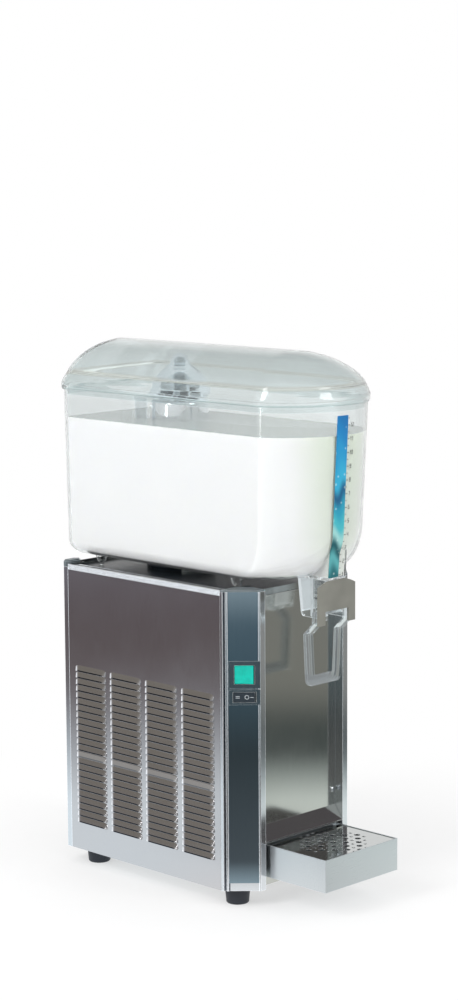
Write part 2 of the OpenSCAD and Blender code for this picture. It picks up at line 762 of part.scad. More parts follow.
// Coil soldered inside the cooling cylinder
coil_r = cooler_r - 1.5 - gap - pipe_d / 2;
coil_pitch = (cooler_h - 60) / coil_turns;
coil_z = deck_z + 20;
// One closed tube along a helix, with a ring of the tube's section at each step
module helix_tube(r, wire_r, turns, pitch, steps, sides) {
    rings = turns * steps;
    points = [for (i = [0:rings], k = [0:sides - 1])
        let(a = i * 360 / steps, b = k * 360 / sides, rr = r + wire_r * cos(b))
        [rr * cos(a), rr * sin(a), pitch * a / 360 + wire_r * sin(b)]];
    skin = [for (i = [0:rings - 1], k = [0:sides - 1]) let(k2 = (k + 1) % sides)
        each [[i * sides + k, i * sides + k2, (i + 1) * sides + k2],
            [i * sides + k, (i + 1) * sides + k2, (i + 1) * sides + k]]];
    ends = [for (k = [1:sides - 2])
        each [[0, k + 1, k], [rings * sides, rings * sides + k, rings * sides + k + 1]]];
    polyhedron(points, concat(skin, ends));
}
module cooling_coil() {
    color("#b87333") translate([0, axis_y, coil_z])
        helix_tube(coil_r, pipe_d / 2, coil_turns, coil_pitch, 20, 6);
}

// Switches on the left column
function axle_stub(h, rocker_h) = min(1.5, (h - rocker_h) / 2 - 2 - gap - 0.4);
module switch_housing(h, rocker_w, rocker_h) {
    difference() {
        union() {
            block([switch_x - switch_w / 2, -bezel_t, -h / 2], [switch_x + switch_w / 2, 0, h / 2]);
            block([switch_x - switch_w / 2 + 3 + gap, -e, -h / 2 + 2 + gap],
                [switch_x + switch_w / 2 - 3 - gap, switch_depth, h / 2 - 2 - gap]);
        }
        block([switch_x - rocker_w / 2 - gap, -bezel_t - e, -rocker_h / 2 - gap],
            [switch_x + rocker_w / 2 + gap, switch_depth - 2, rocker_h / 2 + gap]);
        stub = axle_stub(h, rocker_h) + gap;
        translate([switch_x, rocker_axis, -rocker_h / 2 - stub])
            cylinder(h = rocker_h + 2 * stub, r = 1.5 + shaft_play, $fn = 24);
    }
}
// A rocker: two shallow ramps that meet over its axle
rocker_axis = 5;
module rocker(w, h, stub) {
    proud = bezel_t + 1;
    translate([switch_x, rocker_axis, 0]) rotate([0, 0, -rocker_tilt]) {
        r = (w - 1.5) / 2;
        dish = r * sin(rocker_tilt);
        translate([0, 0, -h / 2]) linear_extrude(h)
            polygon([[-r, -rocker_axis - proud + 1], [0, -rocker_axis - proud + dish + 1],
            [r, -rocker_axis - proud + 1], [r - 0.5, -2], [3, 3], [-3, 3], [-r + 0.5, -2]]);
        translate([0, 0, -h / 2 - stub]) cylinder(h = h + 2 * stub, r = 1.5, $fn = 24);
    }
}
module main_switch_housing() {
    color("#202428") switch_frame(main_switch_z)
        switch_housing(main_switch_h, main_rocker_w, main_rocker_h);
}
module mode_switch_housing() {
    color("#202428") switch_frame(mode_switch_z)
        switch_housing(mode_switch_h, mode_rocker_w, mode_rocker_h);
}
module main_rocker() {
    color("#00b9ac") switch_frame(main_switch_z)
        rocker(main_rocker_w, main_rocker_h, axle_stub(main_switch_h, main_rocker_h));
}
module mode_rocker() {
    color("#15181a") switch_frame(mode_switch_z)
        rocker(mode_rocker_w, mode_rocker_h, axle_stub(mode_switch_h, mode_rocker_h));
}

// Compressor: a welded steel shell on a foot plate with rubber grommets
stub_y = 14;
discharge_z = compressor_z + 50;
suction_z = compressor_z + 80;
weld_z = compressor_h * 0.55;
grommet_places = [for (x = [-1, 1], y = [-1, 1]) [x * 66, axis_y + y * 40]];
module compressor() {
    color("#1c1e20") {
        translate([0, axis_y, compressor_z + 3]) rotate_extrude() polygon(concat([[0, 0]],
            [for (a = [0:15:90]) [compressor_r * 0.7 + compressor_r * 0.3 * sin(a), 18 - 18 * cos(a)]],
            [[compressor_r, weld_z], [compressor_r + 4, weld_z], [compressor_r + 4, weld_z + 4],
                [compressor_r, weld_z + 4]],
            [for (a = [0:15:90]) [compressor_r * cos(a), compressor_h - 35 + 35 * sin(a)]]));
        difference() {
            translate([0, axis_y, compressor_z + 1.5 + gap]) cube([150, 96, 3], center = true);
            for (p = grommet_places) translate([p[0], p[1], compressor_z - e]) cylinder(h = 6, r = 5 + gap);
        }
        translate([compressor_r - 6, axis_y - stub_y, discharge_z]) rotate([0, 90, 0])
            cylinder(h = 22, r = pipe_d / 2 + 1);
        translate([compressor_r - 6, axis_y + stub_y, suction_z]) rotate([0, 90, 0])
            cylinder(h = 22, r = pipe_d / 2 + 1);
        translate([0, axis_y - compressor_r - 8, compressor_z + 70]) cube([40, 26, 40], center = true);
    }
}
module compressor_grommets() {
    color("#26292b") for (p = grommet_places) translate([p[0], p[1], 0]) rotate_extrude()
        polygon([[0, pan_top], [9, pan_top], [9, compressor_z], [5, compressor_z], [5, compressor_z + 4],
            [8, compressor_z + 4], [8, compressor_z + 7], [0, compressor_z + 7]]);
}

// Condenser: fins on rows of tube with return bends
// Return bends are a push fit in the ends of the straight tubes
bend_inset = 0.6;
condenser_tube_r = 4;
return_bend_r = 3.4;
tube_foot = 10;
fin_sheet_t = 0.6;
module condenser() {
    color("#9aa0a2") translate([condenser_x, condenser_y, condenser_z]) {
        for (i = [0:fins - 1]) translate([0, 6 + i * (condenser_l - 12 - fin_sheet_t) / (fins - 1), 4])
            cube([condenser_t, fin_sheet_t, condenser_h - 4]);
        for (y = [2, condenser_l - 3]) translate([0, y, 0]) cube([condenser_t, 1, condenser_h]);
        for (r = [0:tube_rows - 1]) translate([condenser_t / 2, 0, tube_foot + tube_pitch * (r + 0.5)]) {
            rotate([-90, 0, 0]) cylinder(h = condenser_l, r = condenser_tube_r);
            if (r < tube_rows - 1) translate([0, r % 2 == 0 ? bend_inset : condenser_l - bend_inset,
                tube_pitch / 2])
                rotate([0, 90, r % 2 == 0 ? 180 : 0]) rotate_extrude(angle = 180)
                    translate([tube_pitch / 2, 0]) circle(r = return_bend_r);
        }
    }
}

module fan_shroud() {
    color("#2a2e30") difference() {
        union() {
            block([fan_x, condenser_y, condenser_z],
                [fan_x + 2, condenser_y + condenser_l, condenser_z + condenser_h]);
            translate([fan_x, fan_y, fan_z]) rotate([0, 90, 0]) cylinder(h = shroud_depth, r = fan_r + 5);
        }
        translate([fan_x - e, fan_y, fan_z]) rotate([0, 90, 0])
            cylinder(h = shroud_depth + 2 * e, r = fan_r + 3);
    }
    // Spider that carries the motor
    color("#2a2e30") difference() {
        for (a = [45, 135]) translate([fan_motor_x - spider_t / 2, fan_y, fan_z]) rotate([a, 0, 0])
            cube([spider_t, 2 * fan_r + 8, 8], center = true);
        translate([fan_motor_x - spider_t - e, fan_y, fan_z]) rotate([0, 90, 0])
            cylinder(h = spider_t + 2 * e, r = 8);
    }
}
module fan_motor() {
    color("#6d7274") difference() {
        union() {
            translate([fan_motor_x, fan_y, fan_z]) rotate([0, 90, 0]) cylinder(h = 34, r = 22);
            translate([fan_motor_x + 14, fan_y, fan_z]) cube([16, 56, 40], center = true);
        }
        translate([fan_motor_x - e, fan_y, fan_z]) rotate([0, 90, 0]) cylinder(h = 22, r = 3 + shaft_play);
    }
}
module fan_blades() {
    hub_x = fan_x + 3;
    color("#c9cccd") translate([hub_x, fan_y, fan_z]) rotate([0, 90, 0]) {
        cylinder(h = 12, r = 13);
        cylinder(h = fan_motor_x - hub_x + 20, r = 3);
        for (i = [0:fan_blade_count - 1]) rotate([0, 0, i * 360 / fan_blade_count]) translate([11, 0, 6])
            rotate([25, 0, 0])
            linear_extrude(1.6, center = true)
                polygon([[0, -5], [fan_r - 14, -12], [fan_r - 11.5, 0], [fan_r - 14, 12], [0, 5]]);
    }
}

// Refrigerant pipes between the compressor, condenser, drier and coil
stub_x = compressor_r + 16;
pipe_r = pipe_d / 2;
suction_x = stub_x + pipe_r + 4;
module discharge_line() {
    top = condenser_z + condenser_h + 12;
    side_y = fan_y - 40;
    inlet_y = condenser_y + condenser_l + gap;
    inlet_z = condenser_z + tube_foot + tube_pitch * (tube_rows - 0.5);
    color("#b87333") pipe_run([[stub_x + gap, axis_y - stub_y, discharge_z],
        [suction_x, axis_y - stub_y, discharge_z],
        [suction_x, side_y, discharge_z], [suction_x, side_y, top], [pipe_x, side_y, top],
        [pipe_x, inlet_y + 6, top], [pipe_x, inlet_y + 6, inlet_z], [pipe_x, inlet_y, inlet_z]],
            pipe_r * 0.7);
}
drier_z = condenser_z + 46;
drier_len = 92;
module filter_drier() {
    color("#b87333") translate([pipe_x, drier_y, drier_z]) rotate_extrude()
        polygon([[0, 0], [2.5, 0], [2.5, 6], [8, 14], [8, drier_len - 14], [2.5, drier_len - 6],
            [2.5, drier_len], [0, drier_len]]);
}
module liquid_line() {
    outlet_z = condenser_z + tube_foot + tube_pitch / 2;
    color("#b87333") {
        pipe_run([[pipe_x, condenser_y + condenser_l + gap, outlet_z], [pipe_x, drier_y - 4, outlet_z],
            [pipe_x, drier_y, outlet_z + 4], [pipe_x, drier_y, drier_z - gap]], 2.5);
        pipe_run([[pipe_x, drier_y, drier_z + drier_len + gap], [pipe_x, drier_y, motor_z - 20],
            [-coil_r, axis_y, motor_z - 20], [-coil_r, axis_y, coil_z + coil_pitch / 2 - pipe_r - gap]],
                2.5);
    }
}
module suction_line() {
    color("#b87333") pipe_run([[stub_x + gap, axis_y + stub_y, suction_z],
        [suction_x, axis_y + stub_y, suction_z],
        [suction_x, axis_y + stub_y, motor_z - 12], [coil_r, axis_y + stub_y, motor_z - 12],
            [coil_r, axis_y, motor_z - 12],
        [coil_r, axis_y, coil_z - pipe_r - gap]], pipe_r * 0.8);
}

// Drive: motor under the deck, shaft up the cylinder and a ring of magnets at its top
module agitator_motor() {
    color("#6d7274") translate([0, axis_y, motor_z]) difference() {
        union() {
            cylinder(h = motor_h, r = motor_r * 0.8);
            translate([0, 0, motor_h / 2])
                cube([2 * motor_r * 0.8, 2 * motor_r * 0.7, motor_h], center = true);
        }
        translate([0, 0, 10]) cylinder(h = motor_h, r = shaft_r + shaft_play);
    }
}
module motor_bracket() {
    reach = motor_r + 10;
    color("#a3a8aa") difference() {
        union() {
            block([-reach, axis_y - 20, bracket_z], [reach, axis_y + 20, bracket_z + 2]);
            for (x = [-1, 1]) block([x * reach - 2, axis_y - 20, bracket_z],
                [x * reach + 2, axis_y + 20, deck_z - 8]);
        }
        translate([0, axis_y, bracket_z - e]) cylinder(h = 4, r = shaft_r + 3);
        for (x = [-1, 1]) translate([x * coil_r, axis_y, bracket_z - e])
            cylinder(h = 4, r = pipe_r * 0.8 + 1);
    }
}
carrier_z = cooler_top - 1.5 - magnet_gap - magnet_h - 2;
magnet_d = 11;
magnet_ring_r = magnet_r - 6;
module magnet_places() {
    for (i = [0:5]) rotate([0, 0, 60 * i]) translate([magnet_ring_r, 0, 0]) children();
}
module drive_shaft() {
    color("#d0d4d8") translate([0, axis_y, 0]) difference() {
        union() {
            translate([0, 0, motor_z + 12]) cylinder(h = carrier_z - motor_z - 11, r = shaft_r);
            translate([0, 0, carrier_z]) cylinder(h = magnet_h + 2, r = magnet_r + 3);
        }
        translate([0, 0, carrier_z + 2]) magnet_places()
            cylinder(h = magnet_h + 1, r = magnet_d / 2 + shaft_play);
    }
}
module drive_magnets() {
    color("#55585a") translate([0, axis_y, carrier_z + 2]) magnet_places()
        cylinder(h = magnet_h, r = magnet_d / 2);
}

// Agitator: a domed cap on the cylinder's pin, an arm and a blade that hangs beside the cylinder
module agitator() {
    dome_z = hub_z + magnet_h + 4;
    color("#dfe8ea", 0.5) translate([0, axis_y, 0]) {
        difference() {
            union() {
                translate([0, 0, hub_z]) cylinder(h = magnet_h + 4, r = cap_r);
                translate([0, 0, cooler_top + gap]) cylinder(h = hub_z - cooler_top, r = 8);
                rotate_extrude() polygon([[0, dome_z - e], [cap_r, dome_z - e], [cap_r, dome_z + 8],
                    [cap_r - 4, dome_z + 11],
                    [19, dome_z + 34], [15, dome_z + 40], [9, dome_z + 43.5], [0, dome_z + 45]]);
                rotate([0, 0, arm_angle - 90]) translate([0, 0, hub_z]) linear_extrude(3)
                    polygon([[-12, 0], [12, 0], [9, blade_reach], [-9, blade_reach]]);
            }
            translate([0, 0, cooler_top])
                cylinder(h = hub_z - cooler_top + hub_bore_h, r = pin_r + shaft_play);
            rotate_extrude() polygon([[pin_r + 4, dome_z + 0.8], [cap_r - 3, dome_z + 0.8],
                [cap_r - 3, dome_z + 8], [17, dome_z + 31],
                [13, dome_z + 37], [pin_r + 4, dome_z + 40]]);
            translate([0, 0, hub_z + 2]) magnet_places()
                cylinder(h = magnet_h + 4, r = magnet_d / 2 + shaft_play);
        }
        rotate([0, 0, arm_angle - 90]) difference() {
            translate([0, 0, hub_z - blade_drop]) linear_extrude(blade_drop + 2)
                polygon([[-9, cooler_r + 5], [-6, blade_reach], [9, blade_reach], [6, cooler_r + 5]]);
            translate([0, 0, hub_z - blade_drop - e]) linear_extrude(blade_drop - 4)
                polygon([[-7, cooler_r + 6.5], [-4.4, blade_reach - 2], [12, blade_reach - 2],
                    [12, cooler_r + 6.5]]);
        }
    }
}
module agitator_magnets() {
    color("#55585a") translate([0, axis_y, hub_z + 2]) magnet_places()
        cylinder(h = magnet_h, r = magnet_d / 2);
}

module thermostat() {
    depth = 26;
    half_w = 18;
    half_h = 20;
    color("#d8d8d2") difference() {
        union() {
            block([thermostat_x - half_w, inside_y - depth, thermostat_z - half_h],
                [thermostat_x + half_w, inside_y, thermostat_z + half_h]);
            translate([thermostat_x, inside_y - depth + 1, thermostat_z]) rotate([90, 0, 0])
                cylinder(h = 6, r = 8);
        }
        translate([thermostat_x, inside_y + e, thermostat_z]) rotate([90, 0, 0]) cylinder(h = 8, r = 2.5);
    }
}
module terminal_box() {
    low = [30, condenser_y + 4, pan_top];
    size = [40, 60, 60];
    wall = 2;
    color("#d8d8d2") difference() {
        block(low, low + size);
        block(low + [wall, wall, wall], low + size - [wall, wall, wall]);
        // Cable entry
        translate(low + [size[0] / 2, size[1] + 6, size[2] / 2]) rotate([90, 0, 0]) cylinder(h = 10, r = 6);
    }
}

// Bowl. Its level sections share one outline: straight sides, round rear corners and a bowed front.
// side, front, rear and kink are how far each stands in from the rim's own outline.
function section(side, front, rear, kink) =
    let(hw = bowl_w / 2 - side, ry = bowl_rear_y - rear, fy = bowl_front_y + front, ky = kink_y + kink,
        bow = ky - fy, r = (hw * hw + bow * bow) / (2 * bow), sweep = asin(min(1, hw / r)),
            c = bowl_corner_r)
    concat(arc([hw - c, ry - c], c, 0, 90, 4), arc([-hw + c, ry - c], c, 90, 180, 4),
        arc([0, fy + r], r, 270 - sweep, 270 + sweep, 18));
// How far a rounded foot of radius r draws in at height h
function foot_in(r, h) = h >= r ? 0 : r - sqrt(r * r - (r - h) * (r - h));
// Section of the bowl at height h above its underside, t in from its outer face
function bowl_section(h, t) =
    let(up = h / bowl_h, hh = max(0, h - t), side_round = foot_in(bowl_foot_r - t, hh),
        front_in = bowl_front_taper * (1 - up) + foot_in(bowl_front_r - t, hh))
    section(bowl_taper * (1 - up) + side_round + t, front_in + t, side_round + t,
        0.65 * front_in + side_round + 0.23 * t);
function foot_steps(t) = [for (a = [0, 12, 25, 40, 56, 72, 90]) bowl_foot_r * (1 - cos(a)) * 0.9 + t];
bowl_steps = [bowl_foot_r * 1.25, bowl_foot_r * 1.7, bowl_foot_r * 2.3, bowl_front_r + 4, bowl_h];
module bowl_solid(t, top) {
    hull() for (h = concat(foot_steps(t), bowl_steps))
        translate([0, 0, bowl_z + min(h, top) - (h == bowl_h ? 0.01 : 0)]) linear_extrude(0.01)
            polygon(bowl_section(h, t));
}
// Side profile of the nose; t is how far it stands in from the outer face
function nose_profile(t) = [[nose_foot_y + t, nose_z + t], [nose_foot_y - nose_lean + t, rim_z - 12],
    [nose_foot_y + 60, rim_z - 12], [nose_foot_y + 60, bowl_z + 40], [nose_foot_y + 39, nose_z + t]];
collar_up = 14;
lug_stem_half = 2.5;
skirt_rear_y = nose_foot_y + 49;
skirt_foot_r = 6;
skirt_foot_y = skirt_rear_y - 11;
skirt_wall_y = skirt_foot_y + skirt_foot_r * cos(10);
module tap_cheek() {
    // Side wall of the skirt, which carries the lever's axle
    across(nose_half_w - tap_wall, nose_half_w)
        polygon(concat([[plate_back_y, nose_z + 1], [plate_back_y, skirt_z]],
        arc([skirt_foot_y, skirt_z + skirt_foot_r], skirt_foot_r, 270, 350, 5),
            [[skirt_rear_y, nose_z + 1]]));
}
lug_places = [[-66, rear_y - 28], [66, rear_y - 28], [-70, front_y + 46], [70, front_y + 46]];
module bowl() {
    color("#dfeaea", 0.4) difference() {
        union() {
            difference() {
                union() {
                    bowl_solid(0, bowl_h);
                    across(-nose_half_w, nose_half_w) polygon(nose_profile(0));
                }
                translate([0, 0, 0.02]) bowl_solid(bowl_t, bowl_h + 1);
                across(-nose_half_w + bowl_t, nose_half_w - bowl_t) polygon(nose_profile(bowl_t));
            }
            // Collar round the cooling cylinder
            translate([0, axis_y, bowl_z]) cylinder(h = collar_up, r = bowl_hole_r + bowl_t);
            // Tap skirt and valve tube
            both_sides() tap_cheek();
            across(-nose_half_w, nose_half_w) polygon([[skirt_wall_y - tap_wall, skirt_z + skirt_foot_r],
                [skirt_wall_y, skirt_z + skirt_foot_r], [skirt_rear_y, nose_z + 1],
                [skirt_rear_y - tap_wall, nose_z + 1]]);
            translate([0, tube_y, skirt_z]) cylinder(h = tap_skirt_h + bowl_t, r = tube_r);
            across(-nose_half_w, nose_half_w)
                polygon([[nose_foot_y + 3, nose_z], [nose_foot_y + 3, nose_z + bowl_t],
                [skirt_rear_y + 6, nose_z + bowl_t + 2], [skirt_rear_y, nose_z - 1]]);
            // Lugs that rest on the deck
            for (p = lug_places) translate([p[0], p[1], 0]) across(-lug_t / 2, lug_t / 2) difference() {
                union() {
                    polygon(concat([[-lug_w / 2, bowl_z + 1.5], [-lug_w / 2, bowl_z]],
                        arc([0, bowl_z], lug_w / 2, 180, 360, 10), [[lug_w / 2, bowl_z + 1.5]]));
                    translate([-lug_stem_half, deck_z])
                        square([2 * lug_stem_half, bowl_z - deck_z - lug_w / 2 + 2]);
                }
                polygon(concat([[-lug_w / 2 + 2.5, bowl_z + 0.01]],
                    arc([0, bowl_z], lug_w / 2 - 2.5, 180, 360, 10)));
            }
        }
        translate([0, axis_y, bowl_z - e]) cylinder(h = 30, r = bowl_hole_r);
        translate([0, tube_y, skirt_z - e]) cylinder(h = seat_up + e + 1, r = outlet_r);
        translate([0, tube_y, seat_z]) cylinder(h = 3, r1 = outlet_r, r2 = chamber_r);
        translate([0, tube_y, seat_z + 2.99]) cylinder(h = tap_skirt_h + 20, r = chamber_r);
        translate([-nose_half_w - e, axle_y, axle_z]) rotate([0, 90, 0])
            cylinder(h = 2 * nose_half_w + 2 * e, r = axle_d / 2 + shaft_play);
        // Slot for the lever's finger
        block([-3.3, tube_y - tube_r - e, axle_z - finger_r - 2],
            [3.3, tube_y, axle_z + finger_r + plunger_lift + 1]);
        // Lugs end on the deck
        block([-100, front_y, deck_z - 20], [100, rear_y, deck_z + gap]);
    }
}

// Tap plate: two legs either side of the lever's axle under an arched top
plate_foot_z = skirt_z - 5.5;
plate_shoulder_z = nose_z - 7;
plate_slot_half = 20.5;
plate_slot_top = axle_z + 3;
arch_r = (plate_half_w * plate_half_w + plate_arch * plate_arch) / (2 * plate_arch);
arch_sweep = asin(plate_half_w / arch_r);
module tap_plate() {
    color("#7f7f78") difference() {
        along(nose_foot_y, plate_back_y) difference() {
            union() {
                translate([-plate_half_w, plate_foot_z])
                    square([2 * plate_half_w, plate_shoulder_z - plate_foot_z]);
                polygon(arc([0, plate_shoulder_z + plate_arch - arch_r], arch_r, 90 - arch_sweep,
                    90 + arch_sweep, 16));
            }
            translate([-plate_slot_half, plate_foot_z - 1])
                square([2 * plate_slot_half, plate_slot_top - plate_foot_z + 1]);
        }
        // The nose's foot stands in the plate's top edge
        block([-nose_half_w - gap, nose_foot_y - e, nose_z - gap],
            [nose_half_w + gap, plate_back_y + e, nose_z + 20]);
    }
}

// Tap lever: an axle with a finger between two arms that bend back to a U-shaped paddle
bend_z = axle_z - 27;
lever_foot_z = bend_z - lever_drop;
lever_fold = [[axle_y - lever_t / 2, axle_z + axle_d / 2], [axle_y - lever_t / 2, axle_z - 13],
    [axle_y + paddle_back - lever_t / 2, bend_z], [axle_y + paddle_back - lever_t / 2, lever_foot_z]];
lever_inner = lever_half_w - lever_arm_w;
module lever_front_view() {
    taper = 3;
    difference() {
        polygon(concat([[-lever_half_w, axle_z + 10], [-lever_half_w, bend_z]],
            arc([-lever_half_w + taper + 9, lever_foot_z + 9], 9, 180, 270, 5),
            arc([lever_half_w - taper - 9, lever_foot_z + 9], 9, 270, 360, 5),
            [[lever_half_w, bend_z], [lever_half_w, axle_z + 10]]));
        polygon([[-lever_inner, axle_z + 11], [-lever_inner, bend_z],
            [-lever_inner + taper, lever_foot_z + lever_bar_h],
            [lever_inner - taper, lever_foot_z + lever_bar_h], [lever_inner, bend_z],
                [lever_inner, axle_z + 11]]);
    }
}
module tap_lever() {
    color("#cfd6d6", 0.5) {
        intersection() {
            along(axle_y - 20, axle_y + paddle_back + 20) lever_front_view();
            across(-lever_half_w, lever_half_w) polygon(sheet_outline(lever_fold, lever_t));
        }
        translate([-lever_inner - 1, axle_y, axle_z]) rotate([0, 90, 0])
            cylinder(h = 2 * lever_inner + 2, r = axle_d / 2);
        across(-2.4, 2.4) polygon([[axle_y, axle_z - finger_r],
            [axle_y + finger_reach, axle_z - finger_r + 0.2],
            [axle_y + finger_reach, axle_z + finger_r - 0.2], [axle_y, axle_z + finger_r]]);
        translate([-2.5, axle_y + finger_reach, axle_z]) rotate([0, 90, 0])
            cylinder(h = 5, r = finger_r, $fn = 24);
    }
}

// Plunger: two collars that hold the lever's finger, a stem and the valve head
module tap_plunger() {
    color("#e6e8e6") translate([0, tube_y, 0]) rotate_extrude() polygon([
        [0, axle_z - groove_half_h - collar_h], [collar_r, axle_z - groove_half_h - collar_h],
            [collar_r, axle_z - groove_half_h],
        [stem_r, axle_z - groove_half_h], [stem_r, axle_z + groove_half_h],
            [collar_r, axle_z + groove_half_h],
        [collar_r, axle_z + groove_half_h + collar_h], [stem_r + 0.7, axle_z + groove_half_h + collar_h],
        [stem_r + 0.7, head_z], [chamber_r - 0.8, head_z], [chamber_r - 0.8, head_z + head_h],
        [stem_r + 0.7, head_z + head_h], [stem_r + 0.7, guide_z + guide_h], [0, guide_z + guide_h]]);
}
module plunger_seal() {
    color("#2a2d2f") translate([0, tube_y, 0]) rotate_extrude()
        polygon([[stem_r + 0.7 + shaft_play, seat_z + 0.6],
        [outlet_r + 0.25, seat_z + 0.6], [chamber_r - 0.4, head_z - gap / 3],
            [stem_r + 0.7 + shaft_play, head_z - gap / 3]]);
}
module tap_spring() {
    pitch = (spring_len - spring_wire - 0.2) / spring_turns;
    color("#c8ccd0") translate([0, tube_y, spring_z + spring_wire / 2 + 0.1])
        helix_tube(spring_r, spring_wire / 2, spring_turns, pitch, 8, 6);
}
module plunger_guide() {
    color("#e6e8e6") translate([0, tube_y, guide_z]) difference() {
        cylinder(h = guide_h, r = chamber_r - shaft_play);
        translate([0, 0, -e]) cylinder(h = guide_h + 2 * e, r = stem_r + 0.7 + shaft_play);
        for (a = [45:90:360]) rotate([0, 0, a]) translate([(chamber_r + stem_r) / 2 + 0.4, 0, -e])
            cylinder(h = guide_h + 2 * e, r = 1.2, $fn = 24);
    }
}

// Lid: a vault that closes in a dome over the bowed front, on a beaded band round the rim
vault_half = bowl_w / 2 + lid_bead - lid_band_in;
vault_r = (vault_half * vault_half + lid_rise * lid_rise) / (2 * lid_rise);
function vault_height(share,
    drop) = sqrt(pow(vault_r, 2) - pow(vault_half * share, 2)) - (vault_r - lid_rise) - drop;
// Plan of the vault at a share of its half width; the front draws in towards the dome's centre
function vault_section(share, t) =
    let(front = lid_band_in - lid_bead + t)
    concat([[(vault_half - t) * share, bowl_rear_y + lid_bead - lid_band_in - t],
        [-(vault_half - t) * share, bowl_rear_y + lid_bead - lid_band_in - t]],
        [for (i = [0:18]) let(a = -1 + 2 * i / 18, p = section(front, front, 0, 0.23 * t)[10 + i])
            [p[0] * share, (kink_y + 38) + (p[1] - kink_y - 38) * share]]);
module vault(t) {
    hull() {
        for (share = [1, 0.96, 0.88, 0.76, 0.6, 0.42, 0.22, 0.08])
            translate([0, 0, band_z + vault_height(share, t) - 0.05]) linear_extrude(0.05)
                polygon(vault_section(share, t));
        translate([0, 0, band_z - 0.05]) linear_extrude(0.05)
            polygon(section(lid_band_in - lid_bead + t, lid_band_in - lid_bead + t,
                lid_band_in - lid_bead + t, 0.23 * t));
        translate([0, 0, rim_z + 8]) linear_extrude(0.01)
            polygon(section(t - lid_bead + 0.4, t - lid_bead + 0.4, t - lid_bead + 0.4, 0.23 * t));
        translate([0, 0, rim_z + 5]) linear_extrude(0.01)
            polygon(section(t - lid_bead, t - lid_bead, t - lid_bead, 0.23 * t));
        translate([0, 0, rim_z + 2]) linear_extrude(0.01)
            polygon(section(t - lid_bead, t - lid_bead, t - lid_bead, 0.23 * t));
        translate([0, 0, rim_z - 2.5 - (t > 0 ? 1 : 0)]) linear_extrude(0.01)
            polygon(section(t - lid_bead + 1, t - lid_bead + 1, t - lid_bead + 1, 0.23 * t));
    }
}
module lid() {
    // The skirt stays clear of the bowl's walls, which draw in towards the foot
    skirt_in = bowl_t + gap + bowl_front_taper * lid_skirt / bowl_h;
    inner_in = skirt_in + lid_t;
    seat = rim_z + gap;
    color("#dfeaea", 0.4) {
        difference() {
            vault(0);
            vault(lid_t);
            upright(rim_z - lid_skirt, seat + 1) polygon(section(-gap, -gap, -gap, -gap * 0.23));
        }
        // Web that rests on the bowl's rim, with the skirt that centres the lid
        difference() {
            union() {
                upright(rim_z - lid_skirt, seat + lid_t)
                    polygon(section(skirt_in, skirt_in, skirt_in, 0.23 * skirt_in));
                upright(seat, seat + lid_t) polygon(section(-1, -1, -1, -0.23));
            }
            upright(rim_z - lid_skirt - e, band_z)
                polygon(section(inner_in, inner_in, inner_in, 0.23 * inner_in));
        }
    }
}

// Drip tray, hung on its brackets, and the grille that lies in it
tray_front_y = front_y - tray_reach;
tray_rear_y = front_y + tray_tuck;
tray_top = tray_z + tray_h;
grille_z = tray_top - grille_drop - grille_t;
module drip_tray() {
    half = tray_w / 2;
    color("#c2c7c9") {
        difference() {
            block([-half, tray_front_y, tray_z], [half, tray_rear_y, tray_top]);
            block([-half + tray_t, tray_front_y + tray_t, tray_z + tray_t],
                [half - tray_t, tray_rear_y - tray_t, tray_top + e]);
        }
        // Ledges that the grille rests on
        block([-half + e, front_y - 5, grille_z - 2], [half - e, front_y, grille_z - gap]);
        for (x = [-1, 1]) block([x * (half - 2.5) - 2.5, tray_front_y + 1, grille_z - 2],
            [x * (half - 2.5) + 2.5, tray_rear_y - 1, grille_z - gap]);
    }
}
module tray_grille() {
    half = tray_w / 2 - tray_t - gap;
    mid = front_y - tray_reach / 2;
    color("#b8bcbe") difference() {
        block([-half, tray_front_y + tray_t + gap, grille_z], [half, front_y - gap, grille_z + grille_t]);
        translate([0, mid, grille_z - e]) rotate([0, 0, 45]) {
            for (i = [-2:2], j = [-2:2]) translate([i, j] * hole_pitch)
                cylinder(h = grille_t + 2 * e, d = hole_d, $fn = 24);
            for (i = [-2.5:2.5], j = [-2.5:2.5]) if (abs(i) + abs(j) < 5)
                translate([i, j] * hole_pitch) cylinder(h = grille_t + 2 * e, d = small_hole_d, $fn = 24);
        }
    }
}

base_pan();
feet();
foot_screws();
foot_nuts();
front_column_left();
front_column_right();
column_trim_left();
column_trim_right();
column_caps();
rear_post_left();
rear_post_right();
post_caps();
side_rails();
side_panel_left();
side_panel_right();
rear_panel();
rear_screws();
front_panel();
front_screws();
tray_brackets();
top_deck();
bowl_seal();
cooling_cylinder();
cooling_coil();
main_switch_housing();
mode_switch_housing();
main_rocker();
mode_rocker();
compressor();
compressor_grommets();
condenser();
fan_shroud();
fan_motor();
fan_blades();
discharge_line();
liquid_line();
suction_line();
filter_drier();
agitator_motor();
motor_bracket();
drive_shaft();
drive_magnets();
agitator();
agitator_magnets();
thermostat();
terminal_box();
cable_gland();
bowl();
tap_plate();
tap_lever();
tap_plunger();
plunger_seal();
tap_spring();
plunger_guide();
lid();
drip_tray();
tray_grille();
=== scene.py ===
from math import asin, cos, pi, radians, sin, sqrt

import bpy
import numpy as np
from mathutils import Matrix, Vector


